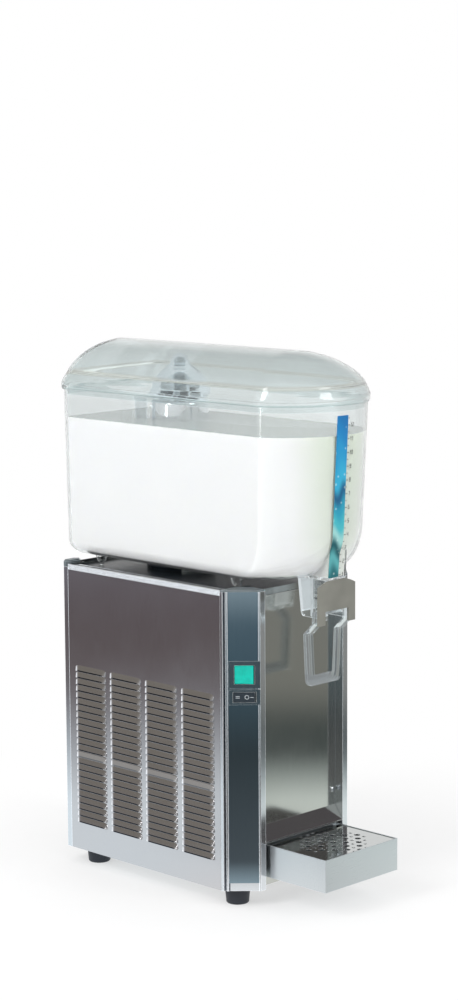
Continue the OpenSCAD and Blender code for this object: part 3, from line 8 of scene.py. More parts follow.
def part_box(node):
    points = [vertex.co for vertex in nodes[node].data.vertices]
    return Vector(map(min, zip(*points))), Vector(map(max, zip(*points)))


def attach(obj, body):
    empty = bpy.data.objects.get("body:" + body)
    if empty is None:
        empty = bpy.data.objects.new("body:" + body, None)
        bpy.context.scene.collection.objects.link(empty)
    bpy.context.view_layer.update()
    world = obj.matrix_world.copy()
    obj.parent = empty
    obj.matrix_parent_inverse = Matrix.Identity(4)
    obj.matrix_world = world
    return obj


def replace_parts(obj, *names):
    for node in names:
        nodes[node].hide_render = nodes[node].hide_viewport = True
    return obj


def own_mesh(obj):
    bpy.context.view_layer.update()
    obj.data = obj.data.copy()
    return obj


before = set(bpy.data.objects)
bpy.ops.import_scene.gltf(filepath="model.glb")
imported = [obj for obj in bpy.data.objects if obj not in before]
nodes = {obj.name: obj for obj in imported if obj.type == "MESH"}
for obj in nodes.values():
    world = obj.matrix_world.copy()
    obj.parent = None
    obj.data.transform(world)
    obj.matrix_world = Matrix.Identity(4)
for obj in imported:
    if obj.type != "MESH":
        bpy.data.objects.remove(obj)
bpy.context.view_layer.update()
mm = 0.001


# Meshes

def makeObject(name, points, faces, sharp=32, smooth=True):
    # Points are in millimetres in the machine's frame; the object sits unturned at the origin
    mesh = bpy.data.meshes.new(name)
    mesh.from_pydata((np.asarray(points, float) * mm).tolist(), [], faces)
    return finishMesh(name, mesh, sharp, smooth)


def finishMesh(name, mesh, sharp=32, smooth=True):
    # The signed volume is the sum over triangles of a . (b x c) / 6; where it is negative
    # the faces are turned
    mesh.update()
    mesh.calc_loop_triangles()
    co = np.zeros(len(mesh.vertices) * 3)
    mesh.vertices.foreach_get("co", co)
    tri = np.zeros(len(mesh.loop_triangles) * 3, int)
    mesh.loop_triangles.foreach_get("vertices", tri)
    a, b, c = co.reshape(-1, 3)[tri.reshape(-1, 3)].transpose(1, 0, 2)
    if np.einsum("ij,ij->i", a, np.cross(b, c)).sum() < 0:
        mesh.flip_normals()
    mesh.polygons.foreach_set("use_smooth", np.full(len(mesh.polygons), smooth))
    if smooth:
        mesh.set_sharp_from_angle(angle=radians(sharp))
    piece = bpy.data.objects.new(name, mesh)
    bpy.context.scene.collection.objects.link(piece)
    return piece


def loft(name, rings, sharp=32, caps=True):
    # Rings of equally many points are joined by quads, point k of one to point k of the next;
    # the end rings get flat caps
    rings = np.asarray(rings, float)
    m, n = rings.shape[:2]
    i, k = np.meshgrid(np.arange(m - 1), np.arange(n), indexing="ij")
    k2 = (k + 1) % n
    quads = np.stack([i * n + k, i * n + k2, (i + 1) * n + k2, (i + 1) * n + k], -1).reshape(-1, 4).tolist()
    if caps:
        quads += [list(range(n))[::-1], list(range((m - 1) * n, m * n))]
    return makeObject(name, rings.reshape(-1, 3), quads, sharp)


def prism(name, outline, axis, low, high, sharp=32):
    # A flat outline carried from low to high along an axis; the outline's two numbers are
    # the other two axes in order
    outline = np.asarray(outline, float)
    rings = [np.insert(outline, axis, level, axis=1) for level in (low, high)]
    return loft(name, rings, sharp)


def box(name, low, high):
    outline = [(low[0], low[1]), (high[0], low[1]), (high[0], high[1]), (low[0], high[1])]
    return prism(name, outline, 2, low[2], high[2])


def circle(cx, cy, r, steps=64):
    a = np.arange(steps) * 2 * pi / steps
    return np.stack([cx + r * np.cos(a), cy + r * np.sin(a)], -1)


def revolve(name, profile, cx, cy, steps=96, sharp=32):
    # A profile of (radius, height) points turned about the upright axis at (cx, cy);
    # points on the axis become poles
    profile = np.asarray(profile, float)
    a = np.arange(steps) * 2 * pi / steps
    onAxis = profile[:, 0] < 1e-6
    start = []
    rows = 0
    for pole in onAxis:
        start.append(rows)
        rows += 1 if pole else steps
    points = np.zeros((rows, 3))
    for p, pole, s in zip(profile, onAxis, start):
        if pole:
            points[s] = (cx, cy, p[1])
        else:
            ring = [cx + p[0] * np.cos(a), cy + p[0] * np.sin(a), np.full(steps, p[1])]
            points[s:s + steps] = np.stack(ring, -1)
    faces = []
    k = np.arange(steps)
    k2 = (k + 1) % steps
    for i in range(len(profile) - 1):
        s = start[i]
        t = start[i + 1]
        if onAxis[i] and onAxis[i + 1]:
            continue
        if onAxis[i]:
            faces += np.stack([np.full(steps, s), t + k, t + k2], -1).tolist()
        elif onAxis[i + 1]:
            faces += np.stack([s + k2, s + k, np.full(steps, t)], -1).tolist()
        else:
            faces += np.stack([s + k, t + k, t + k2, s + k2], -1).tolist()
    return makeObject(name, points, faces, sharp)


def combine(name, base, steps, sharp=32):
    # Adds or cuts the other solids one after another, and keeps the result as a plain mesh
    for operation, others in steps:
        for other in others:
            modifier = base.modifiers.new(operation, "BOOLEAN")
            modifier.operation = operation
            modifier.object = other
            modifier.solver = "MANIFOLD"
    graph = bpy.context.evaluated_depsgraph_get()
    mesh = bpy.data.meshes.new_from_object(base.evaluated_get(graph))
    mesh.name = name
    for other in {base} | {o for _, others in steps for o in others}:
        bpy.data.objects.remove(other)
    piece = finishMesh(name, mesh, sharp)
    print(name, len(piece.data.polygons), "faces")
    return piece


def mirrored(piece, name):
    # The same solid with x turned round, and its faces turned back outwards
    mesh = piece.data.copy()
    mesh.transform(Matrix.Diagonal((-1, 1, 1, 1)))
    mesh.flip_normals()
    mesh.name = name
    other = bpy.data.objects.new(name, mesh)
    bpy.context.scene.collection.objects.link(other)
    return other


# Materials

materials = {}


def linear(r, g, b):
    # A colour of 0 to 255 sRGB values as linear light
    c = np.array([r, g, b], float) / 255
    return (*np.where(c <= 0.04045, c / 12.92, ((c + 0.055) / 1.055) ** 2.4), 1.0)


def dimmed(colour, share):
    return (*(c * share for c in linear(*colour)[:3]), 1)


def add(tree, kind, sockets=None, **settings):
    # One node; a value that is a socket is linked, any other is set on the socket itself
    node = tree.nodes.new("ShaderNode" + kind)
    for key, value in settings.items():
        setattr(node, key, value)
    for key, value in (sockets or {}).items():
        if isinstance(value, bpy.types.NodeSocket):
            tree.links.new(value, node.inputs[key])
        else:
            node.inputs[key].default_value = value
    return node


def maths(tree, operation, *values):
    return add(tree, "Math", dict(enumerate(values)), operation=operation).outputs[0]


def spread(tree, value, fromLow, fromHigh, low=0.0, high=1.0, **settings):
    # The value's span from fromLow to fromHigh becomes low to high, and stays within them
    sockets = {"Value": value, "From Min": fromLow, "From Max": fromHigh, "To Min": low, "To Max": high}
    return add(tree, "MapRange", sockets, **settings).outputs[0]


def axesOf(tree, vector):
    return add(tree, "SeparateXYZ", {0: vector}).outputs


def newTree(name):
    # An empty material, listed under its name
    materials[name] = bpy.data.materials.new(name)
    materials[name].use_nodes = True
    tree = materials[name].node_tree
    tree.nodes.clear()
    return tree


def mixed(tree, share, one, two):
    sockets = {0: share, 1: one.outputs[0], 2: two.outputs[0]}
    return add(tree, "MixShader", sockets)


def fillRamp(ramp, stops):
    # Stops are (position, colour); the first and the last take the two that the ramp has
    for element, (position, colour) in zip(ramp.elements, (stops[0], stops[-1])):
        element.position = position
        element.color = colour
    for position, colour in stops[1:-1]:
        ramp.elements.new(position).color = colour


def objectNoise(tree, scale, detail=3.0, stretch=(1, 1, 1)):
    place = add(tree, "TexCoord").outputs["Object"]
    mapped = add(tree, "Mapping", {"Vector": place, "Scale": stretch}).outputs[0]
    sockets = {"Vector": mapped, "Scale": scale, "Detail": detail, "Roughness": 0.55}
    return add(tree, "TexNoise", sockets).outputs["Fac"]


def between(tree, value, low, high):
    # Maps the noise's useful span, 0.3 to 0.7, to low to high
    return spread(tree, value, 0.3, 0.7, low, high)


def blendColour(tree, factor, one, two):
    node = add(tree, "Mix", data_type="RGBA")
    tree.links.new(factor, node.inputs[0])
    for index, value in ((6, one), (7, two)):
        if isinstance(value, bpy.types.NodeSocket):
            tree.links.new(value, node.inputs[index])
        else:
            node.inputs[index].default_value = value
    return node.outputs[2]


def roundedNormal(tree, height, strength, distance, edge):
    # Grain as a bump, over edges rounded in the shading by the edge radius
    soft = add(tree, "Bevel", {"Radius": edge}, samples=4).outputs[0]
    sockets = {"Strength": strength, "Distance": distance, "Height": height, "Normal": soft}
    return add(tree, "Bump", sockets).outputs[0]


def edgeMask(tree, radius):
    # One on edges, where the rounded normal leaves the face's own, and nothing elsewhere
    soft = add(tree, "Bevel", {"Radius": radius}, samples=4).outputs[0]
    flat = add(tree, "NewGeometry").outputs["Normal"]
    same = add(tree, "VectorMath", {0: soft, 1: flat}, operation="DOT_PRODUCT").outputs["Value"]
    return spread(tree, same, 0.995, 0.9)


def grooveMask(tree, grooveShade):
    # One below the columns' chamfer planes |x| - y = reach, in the strip of |x| that the groove takes, where
    # painted shade darkens the groove
    axes = axesOf(tree, add(tree, "TexCoord").outputs["Object"])
    wide = maths(tree, "ABSOLUTE", axes["X"])
    reach = maths(tree, "SUBTRACT", wide, axes["Y"])
    deep = maths(tree, "LESS_THAN", reach, grooveShade["reach"] - grooveShade["depth"])
    inside = maths(tree, "LESS_THAN", wide, grooveShade["side"])
    behind = maths(tree, "GREATER_THAN", wide, grooveShade["front"])
    both = maths(tree, "MULTIPLY", deep, inside)
    return maths(tree, "MULTIPLY", both, behind)


def rowMask(tree, low, high, proud):
    # One between two heights where the surface stands proud of the plane |x| = proud
    axes = axesOf(tree, add(tree, "TexCoord").outputs["Object"])
    above = maths(tree, "GREATER_THAN", axes["Z"], low)
    below = maths(tree, "LESS_THAN", axes["Z"], high)
    wide = maths(tree, "ABSOLUTE", axes["X"])
    out = maths(tree, "GREATER_THAN", wide, proud)
    both = maths(tree, "MULTIPLY", above, below)
    return maths(tree, "MULTIPLY", both, out)


def metal(name, colour, darker, rough, grain, aniso=0.0, bump=0.06, edge=0.0007, smudge=0.03,
        lit=0.0, grooveShade=None, endHighlight=0.0, row=None, lip=None):
    # Brushed or polished metal: fine noise stretched along the grain, broad noise for handling marks
    tree = newTree(name)
    fine = objectNoise(tree, 1.0, 2.0, stretch=grain)
    broad = objectNoise(tree, 18.0, 3.0)
    tint = blendColour(tree, between(tree, fine, 0.0, 1.0), linear(*darker), linear(*colour))
    if grooveShade:
        # Painted shade: the columns' groove is darkened to blue-grey
        tint = blendColour(tree, grooveMask(tree, grooveShade), tint, linear(84, 88, 96))
    # Painted shade: the louvres' lips, standing proudest of |x| = lip, are darkened to a blue-grey line, the
    # shade beneath each louvre
    if lip:
        tint = blendColour(tree, rowMask(tree, -1.0, 1.0, lip), tint, linear(52, 62, 76))
    level = maths(tree, "ADD", between(tree, fine, rough * 0.9, rough * 1.1),
        between(tree, broad, -smudge / 2, smudge / 2))
    shader = add(tree, "BsdfPrincipled", {"Base Color": tint, "Metallic": 1.0, "Roughness": level,
        "Anisotropic": aniso, "Normal": roundedNormal(tree, fine, bump, 0.00005, edge)})
    # Painted highlight: the edges glow by lit, and the marks below add to it
    if lit:
        glow = maths(tree, "MULTIPLY", edgeMask(tree, edge * 1.2), lit)
        # Painted highlight: faces turned rearward, the louvres' rear ends, glow
        if endHighlight:
            facing = axesOf(tree, add(tree, "NewGeometry").outputs["Normal"])["Y"]
            end = spread(tree, facing, 0.08, 0.3, 0.0, endHighlight)
            glow = maths(tree, "ADD", glow, end)
        # Painted highlight: the plain row's proud face glows
        if row:
            mask = rowMask(tree, row["low"], row["high"], row["proud"])
            bright = maths(tree, "MULTIPLY", mask, row["glow"])
            glow = maths(tree, "ADD", glow, bright)
        tree.links.new(glow, shader.inputs["Emission Strength"])
        shader.inputs["Emission Color"].default_value = (0.92, 0.96, 1.0, 1.0)
    if aniso:
        tangent = add(tree, "Tangent", direction_type="RADIAL", axis="Z").outputs[0]
        tree.links.new(tangent, shader.inputs["Tangent"])
    add(tree, "OutputMaterial", {"Surface": shader.outputs[0]})


def plastic(name, colour, darker, rough, scale=900.0, bump=0.1, edge=0.0006, coat=0.0, lit=0.0):
    # Moulded plastic or rubber: a fine grain in the surface and slow changes of tone
    tree = newTree(name)
    fine = objectNoise(tree, scale, 2.0)
    broad = objectNoise(tree, 30.0, 2.0)
    tint = blendColour(tree, between(tree, broad, 0.0, 1.0), linear(*darker), linear(*colour))
    shader = add(tree, "BsdfPrincipled", {"Base Color": tint,
        "Roughness": between(tree, fine, rough * 0.85, rough * 1.15), "Coat Weight": coat,
        "Coat Roughness": 0.08, "Normal": roundedNormal(tree, fine, bump, 0.0001, edge)})
    # Painted highlight: the edges glow by lit
    if lit:
        glow = maths(tree, "MULTIPLY", edgeMask(tree, edge), lit)
        tree.links.new(glow, shader.inputs["Emission Strength"])
        shader.inputs["Emission Color"].default_value = (0.86, 0.93, 0.95, 1.0)
    add(tree, "OutputMaterial", {"Surface": shader.outputs[0]})


def clear(name, colour, rough=0.02, ior=1.49, shade=0.93, wave=0.004, straight=0.1, lit=0.0, band=None):
    # Clear moulded plastic: it lets shadow rays through in a light tint, so that what is inside stays lit
    tree = newTree(name)
    broad = objectNoise(tree, 25.0, 2.0)
    fine = objectNoise(tree, 400.0, 2.0)
    tint = blendColour(tree, between(tree, broad, 0.0, 1.0), dimmed(colour, 0.99), linear(*colour))
    # Painted reflection: a beige band, standing in for the reflection along the lid's band, is painted
    # between the band's heights
    if band:
        inReflectionBand = maths(tree, "MULTIPLY", rowMask(tree, band["low"], band["high"], -1.0), band["share"])
        tint = blendColour(tree, inReflectionBand, tint, linear(*band["colour"]))
    normal = add(tree, "Bump", {"Strength": wave, "Distance": 0.0005, "Height": broad}).outputs[0]
    glass = add(tree, "BsdfPrincipled", {"Base Color": tint, "IOR": ior, "Transmission Weight": 1.0,
        "Roughness": between(tree, fine, rough * 0.6, rough * 1.4), "Normal": normal})
    through = add(tree, "BsdfTransparent", {"Color": (shade, shade, shade, 1)})
    ahead = add(tree, "BsdfTransparent", {"Color": (0.965, 0.985, 0.985, 1)})
    # Painted highlight: the edges glow by lit
    if lit:
        glow = maths(tree, "MULTIPLY", edgeMask(tree, 0.0007), lit)
        tree.links.new(glow, glass.inputs["Emission Strength"])
        glass.inputs["Emission Color"].default_value = (0.95, 0.98, 1.0, 1.0)
    shadow = add(tree, "LightPath").outputs["Is Shadow Ray"]
    seen = mixed(tree, straight, glass, ahead)
    mix = mixed(tree, shadow, seen, through)
    add(tree, "OutputMaterial", {"Surface": mix.outputs[0]})


def thinClear(name, face, rim, rough=0.03, mirrorGlow=0.25, lit=0.0):
    # Thin clear moulding: straight through in a tint that deepens towards grazing angles, with
    # a Fresnel reflection on top
    tree = newTree(name)
    broad = objectNoise(tree, 40.0, 2.0)
    grazing = add(tree, "LayerWeight", {"Blend": 0.35}).outputs["Facing"]
    tint = blendColour(tree, grazing, linear(*face), linear(*rim))
    through = add(tree, "BsdfTransparent", {"Color": tint})
    # Painted sheen: the reflection glows by mirrorGlow, so it stays light grey
    mirror = add(tree, "BsdfPrincipled", {"Base Color": (0.9, 0.92, 0.93, 1), "Metallic": 1.0,
        "Roughness": between(tree, broad, rough * 0.7, rough * 1.3),
        "Emission Color": (0.93, 0.94, 0.95, 1), "Emission Strength": mirrorGlow})
    share = add(tree, "Fresnel", {"IOR": 1.4}).outputs[0]
    mix = mixed(tree, share, through, mirror)
    # Painted highlight: the edges glow by lit
    line = maths(tree, "MULTIPLY", edgeMask(tree, 0.0005), lit)
    edgeHighlight = add(tree, "Emission", {"Color": (0.85, 0.9, 0.92, 1), "Strength": line})
    whole = add(tree, "AddShader", {0: mix.outputs[0], 1: edgeHighlight.outputs[0]})
    add(tree, "OutputMaterial", {"Surface": whole.outputs[0]})


def deckFinish(name, colour, darker, lip):
    # Dark glossy moulding whose forward and rearward edges are clad in pale steel
    tree = newTree(name)
    broad = objectNoise(tree, 30.0, 2.0)
    tint = blendColour(tree, between(tree, broad, 0.0, 1.0), linear(*darker), linear(*colour))
    facing = axesOf(tree, add(tree, "NewGeometry").outputs["Normal"])["Y"]
    side = maths(tree, "ABSOLUTE", facing)
    clad = maths(tree, "GREATER_THAN", side, 0.7)
    rough = between(tree, objectNoise(tree, 900.0, 2.0), 0.18, 0.24)
    shader = add(tree, "BsdfPrincipled", {"Base Color": blendColour(tree, clad, tint, linear(*lip)),
        "Metallic": clad, "Roughness": rough, "Specular IOR Level": 0.12,
        "Normal": roundedNormal(tree, broad, 0.02, 0.0001, 0.0006)})
    add(tree, "OutputMaterial", {"Surface": shader.outputs[0]})


steelGrain = (2600, 2600, 40)
# Where the painted shade of the columns' groove lies
columnGrooveShade = {"reach": 0.20325, "depth": 0.0012, "side": 0.1093, "front": 0.1035}
crossGrain = (40, 2600, 2600)
plainRowHighlight = {"low": 0.142, "high": 0.1497, "proud": 0.1104, "glow": 0.12}
# Heights and colour of the painted beige reflection round the lid's band
lidBandReflection = {"low": 0.6285, "high": 0.6335, "share": 0.35, "colour": (196, 188, 172)}
# The lit numbers below give painted highlights on edges
metal("brushedSteel", (224, 228, 232), (219, 223, 227), 0.18, steelGrain, 0.3,
    bump=0.03, edge=0.0006, lit=0.9, grooveShade=columnGrooveShade)
# panelSteel carries painted shade on the louvres' lips and painted highlight on their rear ends and on the
# plain row
metal("panelSteel", (207, 206, 208), (203, 201, 203), 0.2, steelGrain, 0.25,
    bump=0.025, edge=0.00005, lit=0.02, endHighlight=0.8, row=plainRowHighlight, lip=0.11232)
metal("plainSteel", (206, 209, 210), (192, 195, 196), 0.3, crossGrain)
metal("frontSteel", (196, 198, 193), (191, 193, 188), 0.13, steelGrain, 0.2, bump=0.03, lit=0.15)
metal("trimSteel", (139, 159, 170), (135, 155, 166), 0.07, steelGrain, 0.2, bump=0.01)
metal("traySteel", (216, 222, 225), (213, 219, 222), 0.3, crossGrain, bump=0.008, lit=0.25)
metal("grilleSteel", (200, 203, 202), (192, 195, 194), 0.08, crossGrain, bump=0.01, lit=0.15)
metal("polishedSteel", (236, 238, 240), (228, 230, 232), 0.1, (60, 60, 2600), bump=0.05)
metal("screwSteel", (222, 225, 228), (204, 208, 212), 0.18, (900, 900, 900), edge=0.0002)
metal("copper", (205, 128, 88), (176, 98, 62), 0.25, (400, 400, 400), edge=0.0)
metal("aluminium", (198, 202, 204), (170, 175, 178), 0.35, (500, 500, 2000), edge=0.0002)
metal("magnetMetal", (120, 124, 128), (96, 100, 104), 0.3, (700, 700, 700))
plastic("greyPlastic", (104, 114, 118), (94, 103, 107), 0.36, lit=0.3)
plastic("platePlastic", (134, 134, 126), (120, 120, 113), 0.36, coat=0.15)
plastic("blackPlastic", (38, 42, 47), (26, 29, 33), 0.3, coat=0.2)
plastic("switchPlastic", (52, 66, 74), (46, 59, 66), 0.25, coat=0.3, edge=0.0004, lit=0.8)
plastic("rockerPlastic", (44, 53, 61), (38, 46, 53), 0.25, coat=0.3, edge=0.0005, lit=0.45)
plastic("whitePlastic", (232, 234, 232), (218, 220, 218), 0.35)
plastic("boxPlastic", (218, 218, 210), (202, 202, 194), 0.5)
plastic("rubber", (34, 40, 50), (24, 28, 36), 0.55, scale=1400.0, bump=0.2)
deckFinish("deckPlastic", (34, 40, 46), (24, 29, 34), (176, 181, 180))
plastic("blackPaint", (30, 32, 34), (20, 22, 24), 0.32, coat=0.5)
plastic("motorPaint", (112, 117, 120), (96, 101, 104), 0.4, coat=0.2)
clear("clearBowl", (247, 250, 250), lit=0.12)
clear("clearLid", (236, 242, 242), lit=0.35, band=lidBandReflection)
thinClear("clearAgitator", (240, 242, 243), (202, 206, 208), mirrorGlow=0.22, lit=0.42)
thinClear("clearLever", (246, 248, 248), (216, 220, 220), mirrorGlow=0.06, lit=0.34)
thinClear("clearSkirt", (251, 252, 252), (240, 243, 244), mirrorGlow=0.16, lit=0.32)

finishes = {
    "brushedSteel": ["front_column_left", "front_column_right", "rear_post_left",
        "rear_post_right", "side_rails"],
    "panelSteel": ["side_panel_left", "side_panel_right"],
    "plainSteel": ["base_pan", "rear_panel", "tray_brackets", "motor_bracket"],
    "frontSteel": ["front_panel"],
    "trimSteel": ["column_trim_left", "column_trim_right"],
    "traySteel": ["drip_tray"],
    "grilleSteel": ["tray_grille"],
    "polishedSteel": ["cooling_cylinder"],
    "screwSteel": ["foot_screws", "foot_nuts", "rear_screws", "front_screws", "drive_shaft", "tap_spring"],
    "copper": ["cooling_coil", "discharge_line", "liquid_line", "suction_line", "filter_drier"],
    "aluminium": ["condenser", "fan_blades"],
    "magnetMetal": ["drive_magnets", "agitator_magnets"],
    "greyPlastic": ["column_caps", "post_caps"],
    "platePlastic": ["tap_plate"],
    "blackPlastic": ["fan_shroud", "cable_gland"],
    "switchPlastic": ["main_switch_housing", "mode_switch_housing"],
    "rockerPlastic": ["mode_rocker"],
    "whitePlastic": ["tap_plunger", "plunger_guide"],
    "boxPlastic": ["thermostat", "terminal_box"],
    "rubber": ["feet", "bowl_seal", "compressor_grommets", "plunger_seal"],
    "deckPlastic": ["top_deck"],
    "blackPaint": ["compressor"],
    "motorPaint": ["fan_motor", "agitator_motor"],
    "clearBowl": ["bowl"],
    "clearLid": ["lid"],
    "clearAgitator": ["agitator"],
    "clearLever": ["tap_lever"],
}


def paint(piece, name):
    piece.data.materials.clear()
    piece.data.materials.append(materials[name])
    return piece


def lens(name, colour, rough):
    # Lit translucent rocker: a deep tint with a little light of its own, uneven as the lamp behind it is
    tree = newTree(name)
    broad = objectNoise(tree, 120.0, 1.0)
    tint = blendColour(tree, between(tree, broad, 0.0, 1.0), dimmed(colour, 0.8), linear(*colour))
    shader = add(tree, "BsdfPrincipled", {"Base Color": tint,
        "Roughness": between(tree, objectNoise(tree, 900.0), rough * 0.8, rough * 1.2),
        "Coat Weight": 0.4, "Coat Roughness": 0.05, "Emission Color": tint, "Emission Strength": 0.25,
        "Normal": roundedNormal(tree, broad, 0.05, 0.0002, 0.0008)})
    add(tree, "OutputMaterial", {"Surface": shader.outputs[0]})


lens("greenLens", (0, 178, 160), 0.22)
finishes["greenLens"] = ["main_rocker"]
for finish, members in finishes.items():
    for member in members:
        paint(nodes[member], finish)
print("finishes set on", sum(len(v) for v in finishes.values()), "nodes")


# Bowl: level sections with straight sides, round rear corners and a bowed front

bowl = {"halfW": 89.5, "rearY": 216.25, "frontY": -195.25, "kinkY": -136.45, "z": 396.5, "h": 215.5, "t": 3.0,
    "taper": 5.5, "frontTaper": 11.0, "cornerR": 14.0, "footR": 19.0, "frontR": 60.0, "soft": 6.0,
    "axisY": 86.75, "holeR": 41.3, "noseHalf": 16.5, "noseFootY": -178.25, "noseLean": 15.0, "noseZ": 399.5,
    "rimZ": 612.0, "skirtZ": 351.5, "tubeY": -149.05, "seatZ": 371.5, "axleY": -170.05,
    "axleZ": 359.5, "deckZ": 385.0, "kinkFollow": 0.65, "kinkWall": 0.23}
lugPlaces = ((-66, 166.75), (66, 166.75), (-70, -79.25), (70, -79.25))


def outline(half, rearY, frontY, kinkY, corner, soft, bowSteps=54, cornerSteps=9):
    # Plan of a section, anticlockwise from the right rear corner: rear corners are quarter circles,
    # the front is the arc through both kinks and the foremost point, and each kink is eased by
    # a quadratic curve between its sides
    bow = kinkY - frontY
    r = (half * half + bow * bow) / (2 * bow)
    sweep = asin(min(1.0, half / r))
    a = np.linspace(0, pi / 2, cornerSteps)
    right = np.stack([half - corner + corner * np.cos(a), rearY - corner + corner * np.sin(a)], -1)
    left = np.stack([-half + corner - corner * np.sin(a), rearY - corner + corner * np.cos(a)], -1)
    turn = soft / r
    b = np.linspace(1.5 * pi - sweep + turn, 1.5 * pi + sweep - turn, bowSteps)
    front = np.stack([r * np.cos(b), frontY + r + r * np.sin(b)], -1)
    t = np.linspace(0, 1, 7)[:-1, None]
    start = np.array([-half, kinkY + soft])
    kink = np.array([-half, kinkY])
    ease = (1 - t) ** 2 * start + 2 * t * (1 - t) * kink + t ** 2 * front[0]
    easeRight = ease[::-1] * [-1, 1]
    side = np.linspace(0.0, 1.0, 8)[1:-1, None]
    leftSide = left[-1] * (1 - side) + start * side
    rightSide = leftSide[::-1] * [-1, 1]
    return np.concatenate([right, left, leftSide, ease, front, easeRight, rightSide])


def footIn(r, h):
    # How far a foot rounded by r draws in at height h
    return 0.0 if h >= r else r - sqrt(r * r - (r - h) ** 2)


def bowlRing(h, t):
    # Section at height h above the underside, t in from the outer face
    b = bowl
    up = h / b["h"]
    aboveFloor = max(0.0, h - t)
    side = footIn(b["footR"] - t, aboveFloor)
    front = b["frontTaper"] * (1 - up) + footIn(b["frontR"] - t, aboveFloor)
    inset = b["taper"] * (1 - up) + side + t
    kinkY = b["kinkY"] + b["kinkFollow"] * front + side + b["kinkWall"] * t
    plan = outline(b["halfW"] - inset, b["rearY"] - side - t, b["frontY"] + front + t, kinkY,
        max(3.0, b["cornerR"] - t * 0.6), b["soft"])
    return np.insert(plan, 2, b["z"] + h, axis=1)


def bowlSolid(name, t, top):
    foot = bowl["footR"] * (1 - np.cos(np.linspace(0, pi / 2, 14)))
    heights = np.concatenate([foot + t, np.linspace(24, 64, 9), [100, 140, 180, top]])
    return loft(name, [bowlRing(h, t) for h in heights])


def noseSolid(name, t, top):
    # Level sections of the nose: a rectangle with its front edges rounded, leaning forward as it rises
    b = bowl
    rings = []
    for z in np.linspace(b["noseZ"] + t, top, 12):
        share = (z - b["noseZ"]) / (b["rimZ"] - 12 - b["noseZ"])
        front = b["noseFootY"] - b["noseLean"] * share + t
        back = b["noseFootY"] + min(60.0, 39.0 + 21.0 * (z - b["noseZ"]) / 37.0)
        half = b["noseHalf"] - t
        r = max(0.8, 2.6 - t)
        a = np.linspace(0, pi / 2, 6)
        left = np.stack([-half + r - r * np.cos(a), front + r - r * np.sin(a)], -1)
        right = left[::-1] * [-1, 1]
        rings.append(np.insert(np.concatenate([left, right, [[half, back], [-half, back]]]), 2, z, axis=1))
    return loft(name, rings)


def arcPoints(cx, cy, r, start, end, steps):
    a = np.radians(np.linspace(start, end, steps + 1))
    return np.stack([cx + r * np.cos(a), cy + r * np.sin(a)], -1)


def lugSolid(name, x, y):
    # Half ring on a stem, seen along x
    z = bowl["z"]
    r = 8.5
    outer = arcPoints(y, z, r, 180, 360, 20)
    inner = arcPoints(y, z + 0.3, r - 2.5, 360, 180, 20)
    front = [[y + r, z + 2], [y + r - 2.5, z + 2]]
    back = [[y - r + 2.5, z + 2], [y - r, z + 2]]
    ring = np.concatenate([outer, front, inner, back])
    half = prism(name, ring, 0, x - 1.5, x + 1.5)
    stem = box(name + "Stem", (x - 1.5, y - 2.5, bowl["deckZ"] + 0.3), (x + 1.5, y + 2.5, z - r + 1.5))
    return [half, stem]


b = bowl
skirtRear = b["noseFootY"] + 49
cheek = np.concatenate([[(b["noseFootY"] + 2.6, b["noseZ"] + 1), (b["noseFootY"] + 2.6, b["skirtZ"])],
    arcPoints(skirtRear - 11, b["skirtZ"] + 6, 6, 270, 350, 8), [(skirtRear, b["noseZ"] + 1)]])
rearFoot = skirtRear - 11 + 6 * cos(radians(10))
rearWall = [(rearFoot - 2.2, b["skirtZ"] + 6), (rearFoot, b["skirtZ"] + 6),
    (skirtRear, b["noseZ"] + 1), (skirtRear - 2.2, b["noseZ"] + 1)]
roof = [(b["noseFootY"] + 3, b["noseZ"] - 0.2), (b["noseFootY"] + 3, b["noseZ"] + 3),
    (skirtRear + 6, b["noseZ"] + 5), (skirtRear, b["noseZ"] - 1)]
bowlShell = combine("bowlShell", bowlSolid("bowlOuter", 0.0, b["h"]), [
    ("UNION", [noseSolid("noseOuter", 0.0, b["rimZ"] - 12)]),
    ("DIFFERENCE", [bowlSolid("bowlInner", b["t"], b["h"] + 1),
        noseSolid("noseInner", b["t"], b["rimZ"] - 15)]),
    ("UNION", [prism("collar", circle(0, b["axisY"], b["holeR"] + 3, 96), 2, b["z"] + 0.2, b["z"] + 14),
        prism("roof", roof, 0, -b["noseHalf"] + 0.3, b["noseHalf"] - 0.3)]
        + sum([lugSolid("lug", x, y) for x, y in lugPlaces], [])),
    ("DIFFERENCE", [prism("hole", circle(0, b["axisY"], b["holeR"], 96), 2, b["z"] - 5, b["z"] + 40),
        prism("chamberTop", circle(0, b["tubeY"], 8.4), 2, b["noseZ"] - 5, b["noseZ"] + 12)]),
])
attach(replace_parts(paint(bowlShell, "clearBowl"), "bowl"), "bowl")

